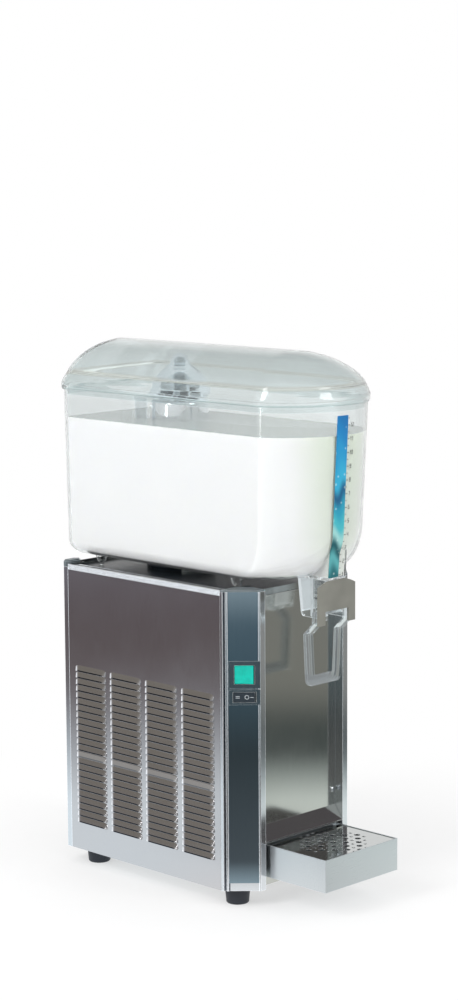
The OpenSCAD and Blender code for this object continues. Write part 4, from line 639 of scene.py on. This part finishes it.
# Tap skirt: two cheeks and a rear wall round the valve's tube, under the nose's roof
skirtTop = b["noseZ"] - 0.1
tapSkirt = combine("tapSkirt", prism("cheekLeft", cheek, 0, -b["noseHalf"] + 0.1, -b["noseHalf"] + 2.2), [
    ("UNION", [prism("cheekRight", cheek, 0, b["noseHalf"] - 2.2, b["noseHalf"] - 0.1),
        prism("rearWall", rearWall, 0, -b["noseHalf"] + 0.2, b["noseHalf"] - 0.2),
        prism("valveTube", circle(0, b["tubeY"], 10.5), 2, b["skirtZ"], b["noseZ"] + 3)]),
    ("DIFFERENCE", [box("aboveSkirt", (-30, -200, skirtTop), (30, -100, skirtTop + 30)),
        prism("outlet", circle(0, b["tubeY"], 5.5), 2, b["skirtZ"] - 1, b["seatZ"] + 1),
        prism("chamber", circle(0, b["tubeY"], 8.4), 2, b["seatZ"] + 1, b["noseZ"] + 12),
        prism("axleBore", circle(b["axleY"], b["axleZ"], 2.8, 32), 0, -20, 20),
        box("fingerSlot", (-3.3, b["tubeY"] - 11, b["axleZ"] - 4), (3.3, b["tubeY"], b["axleZ"] + 7.4))]),
])
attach(paint(tapSkirt, "clearSkirt"), "bowl")

# Tap spring: a round wire on a helix between the plunger's head and its guide
# The real spring shortens as the plunger lifts; this coil spans the height of the tap_spring part

spring = {"r": 5.8, "wire": 0.5, "turns": 5, "lift": 4.5, "slack": 0.25}
springLow, springHigh = (corner.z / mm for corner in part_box("tap_spring"))


def coil(name, cx, cy, r, wire, low, high, turns):
    # Centre line (r cos a, r sin a) rising evenly from low to high; its round section lies across the line
    a = np.linspace(0, 2 * pi * turns, 26 * turns + 1)
    rise = np.linspace(low + wire, high - wire, len(a))
    centre = np.stack([cx + r * np.cos(a), cy + r * np.sin(a), rise], -1)
    out = np.stack([np.cos(a), np.sin(a), 0 * a], -1)
    turn = np.arange(8) * pi / 4
    across = np.cos(turn)[:, None] * out[:, None] + np.sin(turn)[:, None] * np.array([0, 0, 1.0])
    return loft(name, centre[:, None] + wire * across)


springCoil = coil("springCoil", 0, b["tubeY"], spring["r"], spring["wire"],
    springLow, springHigh, spring["turns"])
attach(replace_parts(paint(springCoil, "screwSteel"), "tap_spring"), "bowl")
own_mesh(springCoil)
print("spring made")


# Drink: the inside of the bowl up to the level, a hair clear of the walls, round the cooling cylinder

drink = {"level": 574.0, "clear": 0.15, "cylinderR": 36, "flange": 2.2}
drinkIn = b["t"] + drink["clear"]
collarR = b["holeR"] + 3 + drink["clear"]
drinkBody = combine("drink", bowlSolid("drinkOuter", drinkIn, b["h"]), [
    ("UNION", [noseSolid("drinkNose", drinkIn, b["rimZ"] - 16)]),
    ("DIFFERENCE", [box("above", (-120, -220, drink["level"]), (120, 240, 640)),
        prism("collarRoom", circle(0, b["axisY"], collarR, 96), 2, 390, b["z"] + 14 + drink["clear"]),
        prism("cylinderRoom", circle(0, b["axisY"], drink["cylinderR"] + drink["flange"], 96), 2, 390, 406),
        prism("cylinderRoom2", circle(0, b["axisY"], drink["cylinderR"] + drink["clear"], 96), 2, 400, 640),
        box("plungerRoom", (-9, b["tubeY"] - 9, 390), (9, b["tubeY"] + 9, 404))]),
])


def milky(name):
    # Opaque white drink with a faint cool cast that drifts through it; by the nose a green cast that is
    # partly the bowl's tint and partly painted shade, its level top darkened grey as painted shade, and
    # painted light on its underside
    tree = newTree(name)
    broad = objectNoise(tree, 6.0, 1.0)
    place = axesOf(tree, add(tree, "TexCoord").outputs["Object"])
    # Painted shade with the bowl's green tint: towards the nose, y from -0.158 to -0.196, the drink turns
    # green
    front = spread(tree, place["Y"], -0.158, -0.196, interpolation_type="SMOOTHSTEP")
    body = blendColour(tree, between(tree, broad, 0.0, 1.0), linear(249, 245, 245), linear(246, 243, 244))
    side = blendColour(tree, front, body, linear(232, 238, 222))
    facing = axesOf(tree, add(tree, "NewGeometry").outputs["Normal"])["Z"]
    # Painted shade: the level top, facing up, is darkened to grey
    top = spread(tree, facing, 0.9, 0.98)
    tint = blendColour(tree, top, side, linear(150, 155, 150))
    # Painted light: faces turned down glow up to 0.3, lifting the shade under the drink
    below = spread(tree, facing, 0.0, -0.7, 0.0, 0.3)
    ripple = add(tree, "Bump", {"Strength": 0.05, "Distance": 0.0004, "Height": broad}).outputs[0]
    rough = spread(tree, facing, 0.9, 0.98, 0.3, 0.03)
    shader = add(tree, "BsdfPrincipled", {"Base Color": tint, "Roughness": rough, "IOR": 1.34,
        "Subsurface Weight": 0.3, "Subsurface Scale": 0.01, "Subsurface Radius": (1.0, 1.0, 0.9),
        "Emission Color": side, "Emission Strength": below, "Normal": ripple})
    add(tree, "OutputMaterial", {"Surface": shader.outputs[0]})


milky("milk")
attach(paint(drinkBody, "milk"), "bowl")
print("bowl and drink made")


# Lid: bead and band round the rim, a barrel vault with a flat rear end and a domed front

lid = {"bead": 2.5, "bandH": 19.0, "bandIn": 6.0, "rise": 38.8, "full": 0.3, "rearRound": 14.0, "t": 2.6,
    "skirt": 9.0, "frontCentre": 38.0, "gap": 0.3}
vaultHalf = b["halfW"] + lid["bead"] - lid["bandIn"]
vaultR = (vaultHalf ** 2 + lid["rise"] ** 2) / (2 * lid["rise"])
bandZ = b["rimZ"] + lid["bandH"]


def bandRing(inset, z, shrink=0.0):
    # The rim's own outline, drawn in on every side by the inset
    kinkY = b["kinkY"] + b["kinkWall"] * shrink
    plan = outline(b["halfW"] - inset, b["rearY"] - inset, b["frontY"] + inset, kinkY,
        max(4.0, b["cornerR"] - inset * 0.5), b["soft"] + 4)
    return np.insert(plan, 2, z, axis=1)


def vaultRing(share, t):
    # At each share of its half width the vault's height is part circle,
    # sqrt(R^2 - (share * half)^2) - (R - rise), and part ellipse, rise * sqrt(1 - share^2);
    # the rear end draws in by a quarter ellipse as the vault rises
    inset = lid["bandIn"] - lid["bead"] + t
    arcHeight = sqrt(vaultR ** 2 - (vaultHalf * share) ** 2) - (vaultR - lid["rise"])
    height = (1 - lid["full"]) * arcHeight + lid["full"] * lid["rise"] * sqrt(1 - share * share)
    rearIn = lid["rearRound"] * (1 - sqrt(max(0.0, 1 - (height / lid["rise"]) ** 2)))
    yc = b["kinkY"] + lid["frontCentre"]
    half = (b["halfW"] - inset) * share
    plan = outline(half, b["rearY"] - inset - rearIn, yc + (b["frontY"] + inset - yc) * share,
        yc + (b["kinkY"] + b["kinkWall"] * t - yc) * share,
        min(b["cornerR"], half * 0.8), (b["soft"] + 4) * share)
    return np.insert(plan, 2, bandZ + height - t, axis=1)


def vaultSolid(name, t):
    # The bead's rings as (how far out, height over the rim), then the band, then the vault
    foot = -3.5 if t else -2.5
    bead = ((1.5, foot), (2.1, -1.2), (2.5, 0.8), (2.5, 5), (2.1, 7.4), (1.2, 9))
    low = [bandRing(t - out, b["rimZ"] + up, t) for out, up in bead]
    bandRise = bandZ - b["rimZ"] - 9
    band = [bandRing(-1.2 + 4.7 * s + t, b["rimZ"] + 9 + bandRise * s ** 0.8, t)
        for s in np.linspace(0, 1, 6)[1:]]
    vault = [vaultRing(share, t) for share in np.sin(np.linspace(pi / 2, 0.04, 30))[1:]]
    return loft(name, low + band + vault, sharp=60)


seat = b["rimZ"] + lid["gap"]
skirtIn = b["t"] + lid["gap"] + b["frontTaper"] * lid["skirt"] / b["h"]
skirtSteps = [
    ("UNION", [loft("skirtOuter", [bandRing(skirtIn, z) for z in (b["rimZ"] - lid["skirt"], seat + 1)])]),
    ("DIFFERENCE", [loft("skirtInner",
        [bandRing(skirtIn + lid["t"], z) for z in (b["rimZ"] - 20, seat + 20)])]),
]
webOuter = loft("webOuter", [bandRing(-1.0, z) for z in (seat, seat + lid["t"])])
lidShell = combine("lidShell", vaultSolid("lidOuter", 0.0), [
    ("DIFFERENCE", [vaultSolid("lidInner", lid["t"]),
        loft("rimRoom", [bandRing(-0.3, z) for z in (b["rimZ"] - 20, seat + 1)])]),
    ("UNION", [combine("web", webOuter, skirtSteps)]),
], sharp=60)
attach(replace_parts(paint(lidShell, "clearLid"), "lid"), "lid")
print("lid made")


# Sticker on the nose: a band of generic colour waves, with a litre scale beside it

sticker = {"left": -16.3, "split": 1.5, "foot": 402.5, "top": 598.0, "lift": 0.12, "t": 0.12,
    "litreZ": 404.5, "pitch": 16.5, "digitH": 4.4, "digitW": 2.2, "stroke": 0.62}


def noseY(z):
    return b["noseFootY"] - b["noseLean"] * (np.asarray(z) - b["noseZ"]) / (b["rimZ"] - 12 - b["noseZ"])


def faceY(x, z):
    # The nose's face or the bowl's front arc, whichever stands further forward at (x, z)
    x = np.asarray(x, float)
    z = np.asarray(z, float)
    h = np.clip(z - b["z"], 0, b["h"])
    up = h / b["h"]
    r = b["frontR"]
    foot = np.where(h < r, r - np.sqrt(np.clip(r * r - (r - h) ** 2, 0, None)), 0.0)
    front = b["frontTaper"] * (1 - up) + foot
    half = b["halfW"] - b["taper"] * (1 - up)
    bow = b["kinkY"] + b["kinkFollow"] * front - b["frontY"] - front
    arc = (half * half + bow * bow) / (2 * bow)
    return np.minimum(noseY(z), b["frontY"] + front + arc - np.sqrt(arc * arc - x * x))


def stickerPlate(name, x1, x2, z1, z2, lift):
    # Sections at many heights; each runs across the front of the face and back a film's thickness behind it
    x, z = np.meshgrid(np.linspace(x1, x2, 9), np.linspace(z1, z2, 60))
    y = faceY(x, z) - lift
    back = np.stack([x, y, z], -1)
    face = np.stack([x, y - sticker["t"], z], -1)[:, ::-1]
    return loft(name, np.concatenate([back, face], 1))


def strokes(name, lines, width, lift, t):
    # Flat bars between the points of each line, laid on the nose's face
    points = []
    faces = []
    for line in lines:
        for (x1, z1), (x2, z2) in zip(line[:-1], line[1:]):
            d = np.array([x2 - x1, z2 - z1], float)
            d /= np.linalg.norm(d)
            n = np.array([-d[1], d[0]]) * width / 2
            e = d * width / 2
            tail = np.array([x1, z1]) - e
            tip = np.array([x2, z2]) + e
            corner = [tail - n, tip - n, tip + n, tail + n]
            s = len(points)
            points += [(x, float(faceY(x, z)) - lift - d2, z) for d2 in (0.0, t) for x, z in corner]
            faces += [[s, s + 1, s + 2, s + 3], [s + 7, s + 6, s + 5, s + 4]]
            faces += [[s + i, s + 4 + i, s + 4 + (i + 1) % 4, s + (i + 1) % 4] for i in range(4)]
    return makeObject(name, points, faces, smooth=False)


digits = {
    "0": [[(0, 0), (1, 0), (1, 2), (0, 2), (0, 0)]],
    "1": [[(0.2, 1.6), (0.6, 2), (0.6, 0)]],
    "2": [[(0, 2), (1, 2), (1, 1), (0, 1), (0, 0), (1, 0)]],
    "3": [[(0, 2), (1, 2), (1, 0), (0, 0)], [(0.2, 1), (1, 1)]],
    "4": [[(0, 2), (0, 1), (1, 1)], [(1, 2), (1, 0)]],
    "5": [[(1, 2), (0, 2), (0, 1), (1, 1), (1, 0), (0, 0)]],
    "6": [[(1, 2), (0, 2), (0, 0), (1, 0), (1, 1), (0, 1)]],
    "7": [[(0, 2), (1, 2), (0.4, 0)]],
    "8": [[(0, 0), (1, 0), (1, 2), (0, 2), (0, 0)], [(0, 1), (1, 1)]],
    "9": [[(1, 1), (0, 1), (0, 2), (1, 2), (1, 0), (0, 0)]],
}
marks = []
ticks = []
for litre in range(1, 13):
    z = sticker["litreZ"] + (litre - 1) * sticker["pitch"]
    ticks += [[(2.2, z), (4.8, z)], [(2.2, z + sticker["pitch"] / 2), (3.8, z + sticker["pitch"] / 2)]]
    text = str(litre)
    for place, digit in enumerate(text):
        x = 7.8 - (len(text) - 1) * 1.1 + place * 3.4
        foot = z - sticker["digitH"] / 2
        for line in digits[digit]:
            marks.append([(x + p * sticker["digitW"], foot + q * sticker["digitH"] / 2) for p, q in line])


def waves(name):
    # Height along the strip, bent by two sine waves across it, picks the colour; round lights float over it
    tree = newTree(name)
    place = axesOf(tree, add(tree, "TexCoord").outputs["Object"])
    up = spread(tree, place["Z"], 0.402, 0.598)
    swing = maths(tree, "ADD", maths(tree, "MULTIPLY", place["X"], 260.0), maths(tree, "MULTIPLY", up, 9.0))
    wave = maths(tree, "MULTIPLY_ADD", maths(tree, "SINE", swing), 0.035, up)
    ramp = add(tree, "ValToRGB", {0: wave})
    ramp.color_ramp.interpolation = "EASE"
    stops = [(0.0, (20, 104, 112)), (0.1, (84, 168, 172)), (0.18, (16, 88, 96)), (0.26, (150, 206, 204)),
        (0.34, (60, 178, 190)), (0.44, (24, 150, 180)), (0.52, (8, 92, 134)), (0.6, (40, 168, 206)),
        (0.76, (20, 146, 198)), (0.9, (0, 124, 187)), (1.0, (0, 110, 174))]
    fillRamp(ramp.color_ramp, [(position, linear(*colour)) for position, colour in stops])
    where = add(tree, "TexCoord").outputs["Object"]
    cells = add(tree, "TexVoronoi", {"Vector": where, "Scale": 120.0}).outputs["Distance"]
    light = spread(tree, cells, 0.16, 0.2, 0.35, 0.0)
    colour = blendColour(tree, light, ramp.outputs[0], linear(225, 245, 240))
    shader = add(tree, "BsdfPrincipled", {"Base Color": colour, "Roughness": 0.35, "Coat Weight": 0.3})
    add(tree, "OutputMaterial", {"Surface": shader.outputs[0]})


waves("waves")
plastic("ink", (30, 42, 38), (22, 33, 30), 0.5, edge=0.0)
picture = stickerPlate("picture", sticker["left"], sticker["split"], sticker["foot"],
    sticker["top"], sticker["lift"])
paint(picture, "waves")
scale = paint(strokes("litreScale", marks, sticker["stroke"], sticker["lift"], sticker["t"]), "ink")
scaleTicks = paint(strokes("litreTicks", ticks, 0.7, sticker["lift"], sticker["t"]), "ink")
for piece in (picture, scale, scaleTicks):
    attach(piece, "bowl")
print("sticker made")


# Marks on the small rocker: an open ring for off, a bar for on and a short pair of lines for the idle side

rockerMark = {"middle": 13.86, "end": 26.96, "low": 144.74, "high": 147.05, "z": 260.5,
    "lift": 0.04, "t": 0.08, "stroke": 0.5}


def rockerFace(u, z, out):
    # u runs along the chamfer to the right, and the face stands n = low out, rising in a line
    # from the middle to high at the end
    m = rockerMark
    share = np.clip((u - m["middle"]) / (m["end"] - m["middle"]), 0, 1)
    n = m["low"] + (m["high"] - m["low"]) * share + out
    return np.stack([(u - n) * sqrt(0.5), (-u - n) * sqrt(0.5), z], -1)


def ribbon(name, u, z, closed):
    # A flat band of even width along the line (u, z), between lift and lift + t above the rocker's face
    m = rockerMark
    path = np.stack([u, z], -1)
    ahead = np.roll(path, -1, 0) - np.roll(path, 1, 0) if closed else np.gradient(path, axis=0)
    side = np.stack([-ahead[:, 1], ahead[:, 0]], -1)
    side = side / np.linalg.norm(ahead, axis=1)[:, None] * m["stroke"] / 2
    corners = ((path - side, 0.0), (path + side, 0.0), (path + side, m["t"]), (path - side, m["t"]))
    section = [rockerFace(p[:, 0], p[:, 1], m["lift"] + d) for p, d in corners]
    rings = np.stack(section, 1)
    if closed:
        rings = np.concatenate([rings, rings[:1]])
        count = len(rings) - 1
        i, k = np.meshgrid(np.arange(count), np.arange(4), indexing="ij")
        k2 = (k + 1) % 4
        i2 = (i + 1) % count
        quads = np.stack([i * 4 + k, i * 4 + k2, i2 * 4 + k2, i2 * 4 + k], -1).reshape(-1, 4).tolist()
        return makeObject(name, rings[:-1].reshape(-1, 3), quads, smooth=False)
    return loft(name, rings)


around = np.arange(28) * 2 * pi / 28
marksOnRocker = [ribbon("offRing", 17.2 + 2.3 * np.cos(around), rockerMark["z"] + 2.3 * np.sin(around), True),
    ribbon("onBar", np.linspace(21.2, 25.2, 4), np.full(4, rockerMark["z"]), False),
    ribbon("idleBarHigh", np.linspace(3.8, 8.6, 4), np.full(4, rockerMark["z"] + 0.8), False),
    ribbon("idleBarLow", np.linspace(3.8, 8.6, 4), np.full(4, rockerMark["z"] - 1.0), False)]
plastic("markWhite", (214, 222, 226), (200, 209, 214), 0.4, edge=0.0)
for piece in marksOnRocker:
    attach(paint(piece, "markWhite"), "mode_rocker")
print("rocker marks made")


# Side panels: rows of pressed louvres with round closed ends, open below

panel = {"x": -110.0, "t": 1.0, "fold": 8.0, "y1": -88.95, "y2": 181.75, "z1": 20.0, "z2": 382.7,
    "rows": 24, "plain": 14, "columns": 4, "pitch": 8.6, "length": 56.0, "gapY": 8.0, "margin": 10.8,
    "base": 36.0, "h": 7.6, "out": 2.6, "endR": 7.5, "lip": 0.7, "gap": 0.3, "slitIn": 1.2}


def louvrePlace(column, row):
    # Where a louvre's lower front corner lies along the panel and in height
    p = panel
    y = p["y1"] - p["gap"] + p["margin"] + column * (p["length"] + p["gapY"])
    return y, p["z1"] + p["base"] + (p["rows"] - 1 - row) * p["pitch"]


def louvreSolids(name, out, high, back, inset, skip):
    # The face leans in from the lip to the sheet as (1 - v)^0.9; along the louvre the profile's reach is
    # out * sqrt(1 - u^2), with u from 0 at the start of an end to 1 at its tip
    p = panel
    v = np.linspace(0, 1, 6)
    face = np.stack([-out * (1 - v) ** 0.9, p["lip"] + (high - p["lip"]) * v], -1)
    profile = np.concatenate([[[back, 0.0], [-out + 0.25, 0.0], [-out, 0.25]], face, [[back, high]]])
    n = len(profile)
    u = np.sin(np.linspace(pi / 2, 0, 6))
    r = p["endR"] - inset
    length = p["length"] - 2 * inset
    stations = np.concatenate([r - r * u, [length / 2], length - r + r * u[::-1]])
    closing = np.sqrt(np.clip(1 - u * u, 0.0004, 1))
    reach = np.concatenate([closing, [1.0], closing[::-1]])
    m = len(stations)
    shape = np.zeros((m, n, 3))
    shape[:, :, 0] = np.where(profile[:, 0] < 0, profile[:, 0] * reach[:, None], profile[:, 0])
    shape[:, :, 1] = stations[:, None]
    shape[:, :, 2] = profile[None, :, 1] * (0.7 + 0.3 * reach[:, None])
    i, k = np.meshgrid(np.arange(m - 1), np.arange(n), indexing="ij")
    k2 = (k + 1) % n
    quads = np.stack([i * n + k, (i + 1) * n + k, (i + 1) * n + k2, i * n + k2], -1).reshape(-1, 4)
    places = [louvrePlace(column, row) for column in range(p["columns"]) for row in range(p["rows"])
        if not (skip and row == p["plain"] - 1)]
    points = np.concatenate([shape.reshape(-1, 3) + [p["x"], y + inset, z] for y, z in places])
    faces = []
    for j in range(len(places)):
        s = j * m * n
        faces += (quads + s).tolist()
        faces += [list(range(s, s + n)), list(range(s + (m - 1) * n, s + m * n))[::-1]]
    return makeObject(name, points, faces)


def slitSolids(name):
    # A thin upright block under each lip, as long as its louvre
    p = panel
    base = ((-0.5, 0), (1.6, 0), (1.6, 1), (-0.5, 1))
    corners = np.array([(x, y, z) for z in (-0.85, 0.1) for x, y in base])
    quads = np.array([(0, 3, 2, 1), (4, 5, 6, 7), (0, 1, 5, 4), (1, 2, 6, 5), (2, 3, 7, 6), (3, 0, 4, 7)])
    points = []
    faces = []
    for column in range(p["columns"]):
        for row in range(p["rows"]):
            y, z = louvrePlace(column, row)
            faces += (quads + len(points)).tolist()
            stretch = [1, p["length"] - 2 * p["slitIn"], 1]
            points += (corners * stretch + [p["x"], y + p["slitIn"], z]).tolist()
    return makeObject(name, points, faces)


p = panel
panelLow = np.array([p["x"], p["y1"], p["z1"]])
panelHigh = np.array([p["x"] + p["fold"], p["y2"], p["z2"]])
panelLeft = combine("panelLeft", box("sheet", panelLow, panelHigh), [
    ("UNION", [louvreSolids("louvres", p["out"], p["h"], 0.6, 0.0, False)]),
    ("DIFFERENCE", [box("pocket", panelLow + p["t"], panelHigh - p["t"]),
        box("mouth", panelLow + [3, 8, 8], panelHigh + [1, -8, -8]),
        louvreSolids("louvreRooms", p["out"] - 0.7, p["h"] - 0.9, 1.6, 0.9, True), slitSolids("slits")]),
], sharp=9)
panelRight = mirrored(panelLeft, "panelRight")
for piece, name in ((panelLeft, "side_panel_left"), (panelRight, "side_panel_right")):
    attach(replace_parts(paint(piece, "panelSteel"), name), "case")
print("side panels made")


# Agitator: a cone over a round-topped tube on the cylinder's pin, and the arm with its blade

agitator = {"hubZ": 601.0, "capR": 38.5, "angle": 135.0, "drop": 165.0, "topZ": 598.3}
hz = agitator["hubZ"]
headAngles = np.linspace(0, pi / 2, 9)
head = [(12.0 * sin(a), hz + 41.5 + 12.0 * cos(a)) for a in headAngles]
cone = [(13.4, hz + 40), (35.6, hz + 22.4), (36.6, hz + 21.4), (36.6, hz + 20), (35.6, hz + 18.6),
    (35.6, hz + 11), (37.2, hz + 10), (agitator["capR"], hz + 8.6), (agitator["capR"], hz + 1), (37.9, hz)]
under = [(36.4, hz), (36.2, hz + 8), (33.6, hz + 10), (33.6, hz + 19.6), (33.0, hz + 21),
    (14.0, hz + 36.2), (12.0, hz + 37.4), (12.0, agitator["topZ"]), (9.6, agitator["topZ"])]
ceiling = [(9.6, hz + 41.5), (9.0, hz + 45), (7.0, hz + 48.3), (4.0, hz + 50.2), (0, hz + 50.8)]
cap = revolve("capSolid", head + cone + under + ceiling, 0, b["axisY"], 96)
turn = radians(agitator["angle"] - 90)
spin = np.array([[cos(turn), -sin(turn)], [sin(turn), cos(turn)]])


def turned(points):
    return np.asarray(points, float) @ spin.T + [0, b["axisY"]]


arm = prism("arm", turned([(-12, 36.5), (12, 36.5), (9, 57), (-9, 57)]), 2, hz + 0.2, hz + 3)
bladeLow = hz - agitator["drop"]
bladeOuter = prism("bladeOuter", turned([(-9, 41), (-6, 57), (9, 57), (6, 41)]), 2, bladeLow, hz + 2)
bladeInner = prism("bladeInner", turned([(-7, 42.5), (-4.4, 55), (12, 55), (12, 42.5)]), 2,
    bladeLow - 1, hz - 4)
blade = combine("blade", bladeOuter, [("DIFFERENCE", [bladeInner])])
agitatorBody = combine("agitatorBody", cap, [("UNION", [arm, blade])])
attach(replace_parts(paint(agitatorBody, "clearAgitator"), "agitator"), "agitator")
print("agitator made")


# Floor, light and camera

def sector(tree, x, y, ahead):
    # Squared cosine between a direction in plan and the direction ahead, and nothing behind it
    square = maths(tree, "MULTIPLY", x, x)
    length = maths(tree, "MULTIPLY_ADD", y, y, square)
    size = maths(tree, "ADD", length, 0.000001)
    along = maths(tree, "MULTIPLY_ADD", x, ahead[0], maths(tree, "MULTIPLY", y, ahead[1]))
    front = maths(tree, "MAXIMUM", along, 0.0)
    squared = maths(tree, "MULTIPLY", front, front)
    return maths(tree, "DIVIDE", squared, size)


def ramped(tree, value, reach, stops):
    # Colours along a distance or height, given as (place, r, g, b) in linear light
    node = add(tree, "ValToRGB", {0: maths(tree, "MULTIPLY", value, 1 / reach)})
    fillRamp(node.color_ramp, [(place / reach, (*colour, 1)) for place, *colour in stops])
    return node.outputs[0]


room = {
    "ahead": {"back": (0.7071, 0.7071), "left": (-0.7071, 0.7071),
        "right": (0.7071, -0.7071), "camera": (-0.7071, -0.7071)},
    "floor": {
        "back": [(0.0, 1.0, 1.0, 1.0), (4.0, 1.0, 1.0, 1.0)],
        "left": [
            (0.0, 0.92, 1.0, 1.04), (0.5, 0.92, 1.0, 1.04), (0.85, 0.5, 0.53, 0.56),
            (1.2, 0.17, 0.145, 0.15), (1.8, 0.105, 0.078, 0.075), (2.3, 0.17, 0.15, 0.165),
            (3.2, 0.24, 0.24, 0.28)],
        "right": [
            (0.0, 1.0, 1.0, 1.0), (0.28, 0.86, 0.88, 0.86), (0.5, 0.9, 0.96, 0.94),
            (0.62, 0.5, 0.55, 0.54), (0.76, 0.09, 0.105, 0.107), (0.96, 0.1, 0.115, 0.115),
            (1.2, 0.3, 0.3, 0.28), (2.2, 0.31, 0.31, 0.3), (2.6, 0.22, 0.21, 0.19),
            (4.0, 0.22, 0.21, 0.19)],
        "camera": [
            (0.0, 1.0, 1.0, 1.0), (0.22, 0.97, 0.97, 0.97), (0.33, 0.22, 0.21, 0.21),
            (0.9, 0.11, 0.115, 0.115), (1.4, 0.18, 0.235, 0.26), (1.9, 0.24, 0.29, 0.32),
            (2.3, 0.78, 0.78, 0.78), (4.0, 0.6, 0.62, 0.62)],
    },
    "dome": {
        "back": [
            (0.0, 1.0, 1.0, 1.0), (0.32, 0.95, 0.95, 0.95), (0.52, 0.16, 0.15, 0.15),
            (1.0, 0.2, 0.2, 0.2)],
        "left": [
            (0.0, 0.24, 0.24, 0.28), (0.2, 0.22, 0.2, 0.17), (0.35, 0.22, 0.2, 0.17),
            (0.6, 0.4, 0.4, 0.4), (1.0, 0.6, 0.6, 0.6)],
        "right": [
            (0.0, 0.22, 0.21, 0.19), (0.4, 0.12, 0.11, 0.12), (0.65, 0.1, 0.09, 0.1),
            (1.0, 0.3, 0.3, 0.3)],
        "camera": [(0.0, 0.6, 0.62, 0.62), (0.4, 0.5, 0.52, 0.52), (1.0, 0.8, 0.8, 0.8)],
    },
}


def surroundings(tree, x, y, reachOf, reach, table):
    # The four sectors' colours, weighted by how much each one faces
    total = None
    for side, stops in table.items():
        weight = sector(tree, x, y, room["ahead"][side])
        colour = add(tree, "VectorMath", {0: ramped(tree, reachOf, reach, stops)}, operation="SCALE")
        tree.links.new(weight, colour.inputs["Scale"])
        if total is None:
            total = colour.outputs[0]
        else:
            total = add(tree, "VectorMath", {0: total, 1: colour.outputs[0]}, operation="ADD").outputs[0]
    return total


def backdrop():
    # White paper with the machine's shadow near it; reflections meet a studio floor that differs on each side
    tree = newTree("floorWhite")
    place = add(tree, "TexCoord").outputs["Object"]
    path = add(tree, "LightPath")
    axes = axesOf(tree, place)
    distance = add(tree, "VectorMath", {0: place}, operation="LENGTH").outputs["Value"]
    grain = objectNoise(tree, 40.0, 2.0)
    tone = blendColour(tree, between(tree, grain, 0.0, 1.0), (0.9, 0.9, 0.9, 1), (0.91, 0.91, 0.91, 1))
    paper = add(tree, "BsdfDiffuse", {"Color": tone})
    white = add(tree, "Emission", {"Color": (1, 1, 1, 1), "Strength": 1.0})
    far = spread(tree, distance, 0.3, 0.7, 0.5, 1.0, interpolation_type="SMOOTHSTEP")
    seen = mixed(tree, far, paper, white)
    walls = surroundings(tree, axes["X"], axes["Y"], distance, 4.0, room["floor"])
    studio = add(tree, "Emission", {"Color": walls})
    glossy = mixed(tree, path.outputs["Is Glossy Ray"], paper, studio)
    direct = maths(tree, "MAXIMUM", path.outputs["Is Camera Ray"], path.outputs["Is Transmission Ray"])
    lit = mixed(tree, direct, glossy, seen)
    add(tree, "OutputMaterial", {"Surface": lit.outputs[0]})


floor = prism("floor", [(-9000, -9000), (9000, -9000), (9000, 9000), (-9000, 9000)], 2, -12, -0.2)
backdrop()
paint(floor, "floorWhite")


def worldLight():
    # White to the camera and through clear plastic, an even dome to matt surfaces, and
    # the studio's walls to reflections
    world = bpy.data.worlds.new("studio")
    world.use_nodes = True
    tree = world.node_tree
    tree.nodes.clear()
    path = add(tree, "LightPath")
    direction = axesOf(tree, add(tree, "TexCoord").outputs["Generated"])
    high = maths(tree, "MAXIMUM", direction["Z"], 0.0)
    walls = surroundings(tree, direction["X"], direction["Y"], high, 1.0, room["dome"])
    dome = add(tree, "Background", {"Color": walls})
    direct = maths(tree, "MAXIMUM", path.outputs["Is Camera Ray"], path.outputs["Is Transmission Ray"])
    white = add(tree, "Background", {"Color": (1, 1, 1, 1), "Strength": 1.0})
    soft = add(tree, "Background", {"Color": (1, 1, 1, 1), "Strength": 0.95})
    glossy = mixed(tree, path.outputs["Is Glossy Ray"], soft, dome)
    lit = mixed(tree, direct, glossy, white)
    add(tree, "OutputWorld", {"Surface": lit.outputs[0]})
    bpy.context.scene.world = world


worldLight()


def areaLamp(name, place, target, width, height, power):
    lamp = bpy.data.lights.new(name, "AREA")
    lamp.shape = "RECTANGLE"
    lamp.size = width
    lamp.size_y = height
    lamp.energy = power
    piece = bpy.data.objects.new(name, lamp)
    piece.location = place
    piece.rotation_mode = "QUATERNION"
    piece.rotation_quaternion = (Vector(target) - Vector(place)).to_track_quat("-Z", "Y")
    bpy.context.scene.collection.objects.link(piece)


areaLamp("keyLamp", (-2.2, 0.2, 1.9), (0, 0, 0.4), 0.7, 1.4, 24)
areaLamp("fillLamp", (0.6, -2.6, 1.9), (0, 0, 0.4), 0.8, 1.2, 16)
areaLamp("sideLamp", (-2.4, 0.55, 0.28), (0, 0, 0.4), 0.2, 0.28, 1.2)


photoView = {"yaw": 45.39, "pitch": 8.30, "roll": 0.35, "place": (-2.0672, -2.03675, 0.9011), "lens": 84.96}


def photoCamera():
    # Forward, right and down of a camera turned by yaw and pitch, then rolled about its own line of sight
    yaw, pitch, roll = (radians(photoView[angle]) for angle in ("yaw", "pitch", "roll"))
    forward = np.array([sin(yaw) * cos(pitch), cos(yaw) * cos(pitch), -sin(pitch)])
    right = np.array([cos(yaw), -sin(yaw), 0.0])
    down = np.cross(forward, right)
    across = cos(roll) * right + sin(roll) * down
    below = cos(roll) * down - sin(roll) * right
    data = bpy.data.cameras.new("photoCamera")
    data.lens = photoView["lens"]
    data.sensor_width = 36.0
    data.sensor_fit = "AUTO"
    data.clip_start = 0.1
    data.clip_end = 50.0
    camera = bpy.data.objects.new("photoCamera", data)
    rows = [(across[i], -below[i], -forward[i], photoView["place"][i]) for i in range(3)]
    camera.matrix_world = Matrix(rows + [(0, 0, 0, 1)])
    bpy.context.scene.collection.objects.link(camera)
    bpy.context.scene.camera = camera


photoCamera()
bpy.context.scene.view_settings.view_transform = "Standard"
print("scene ready")
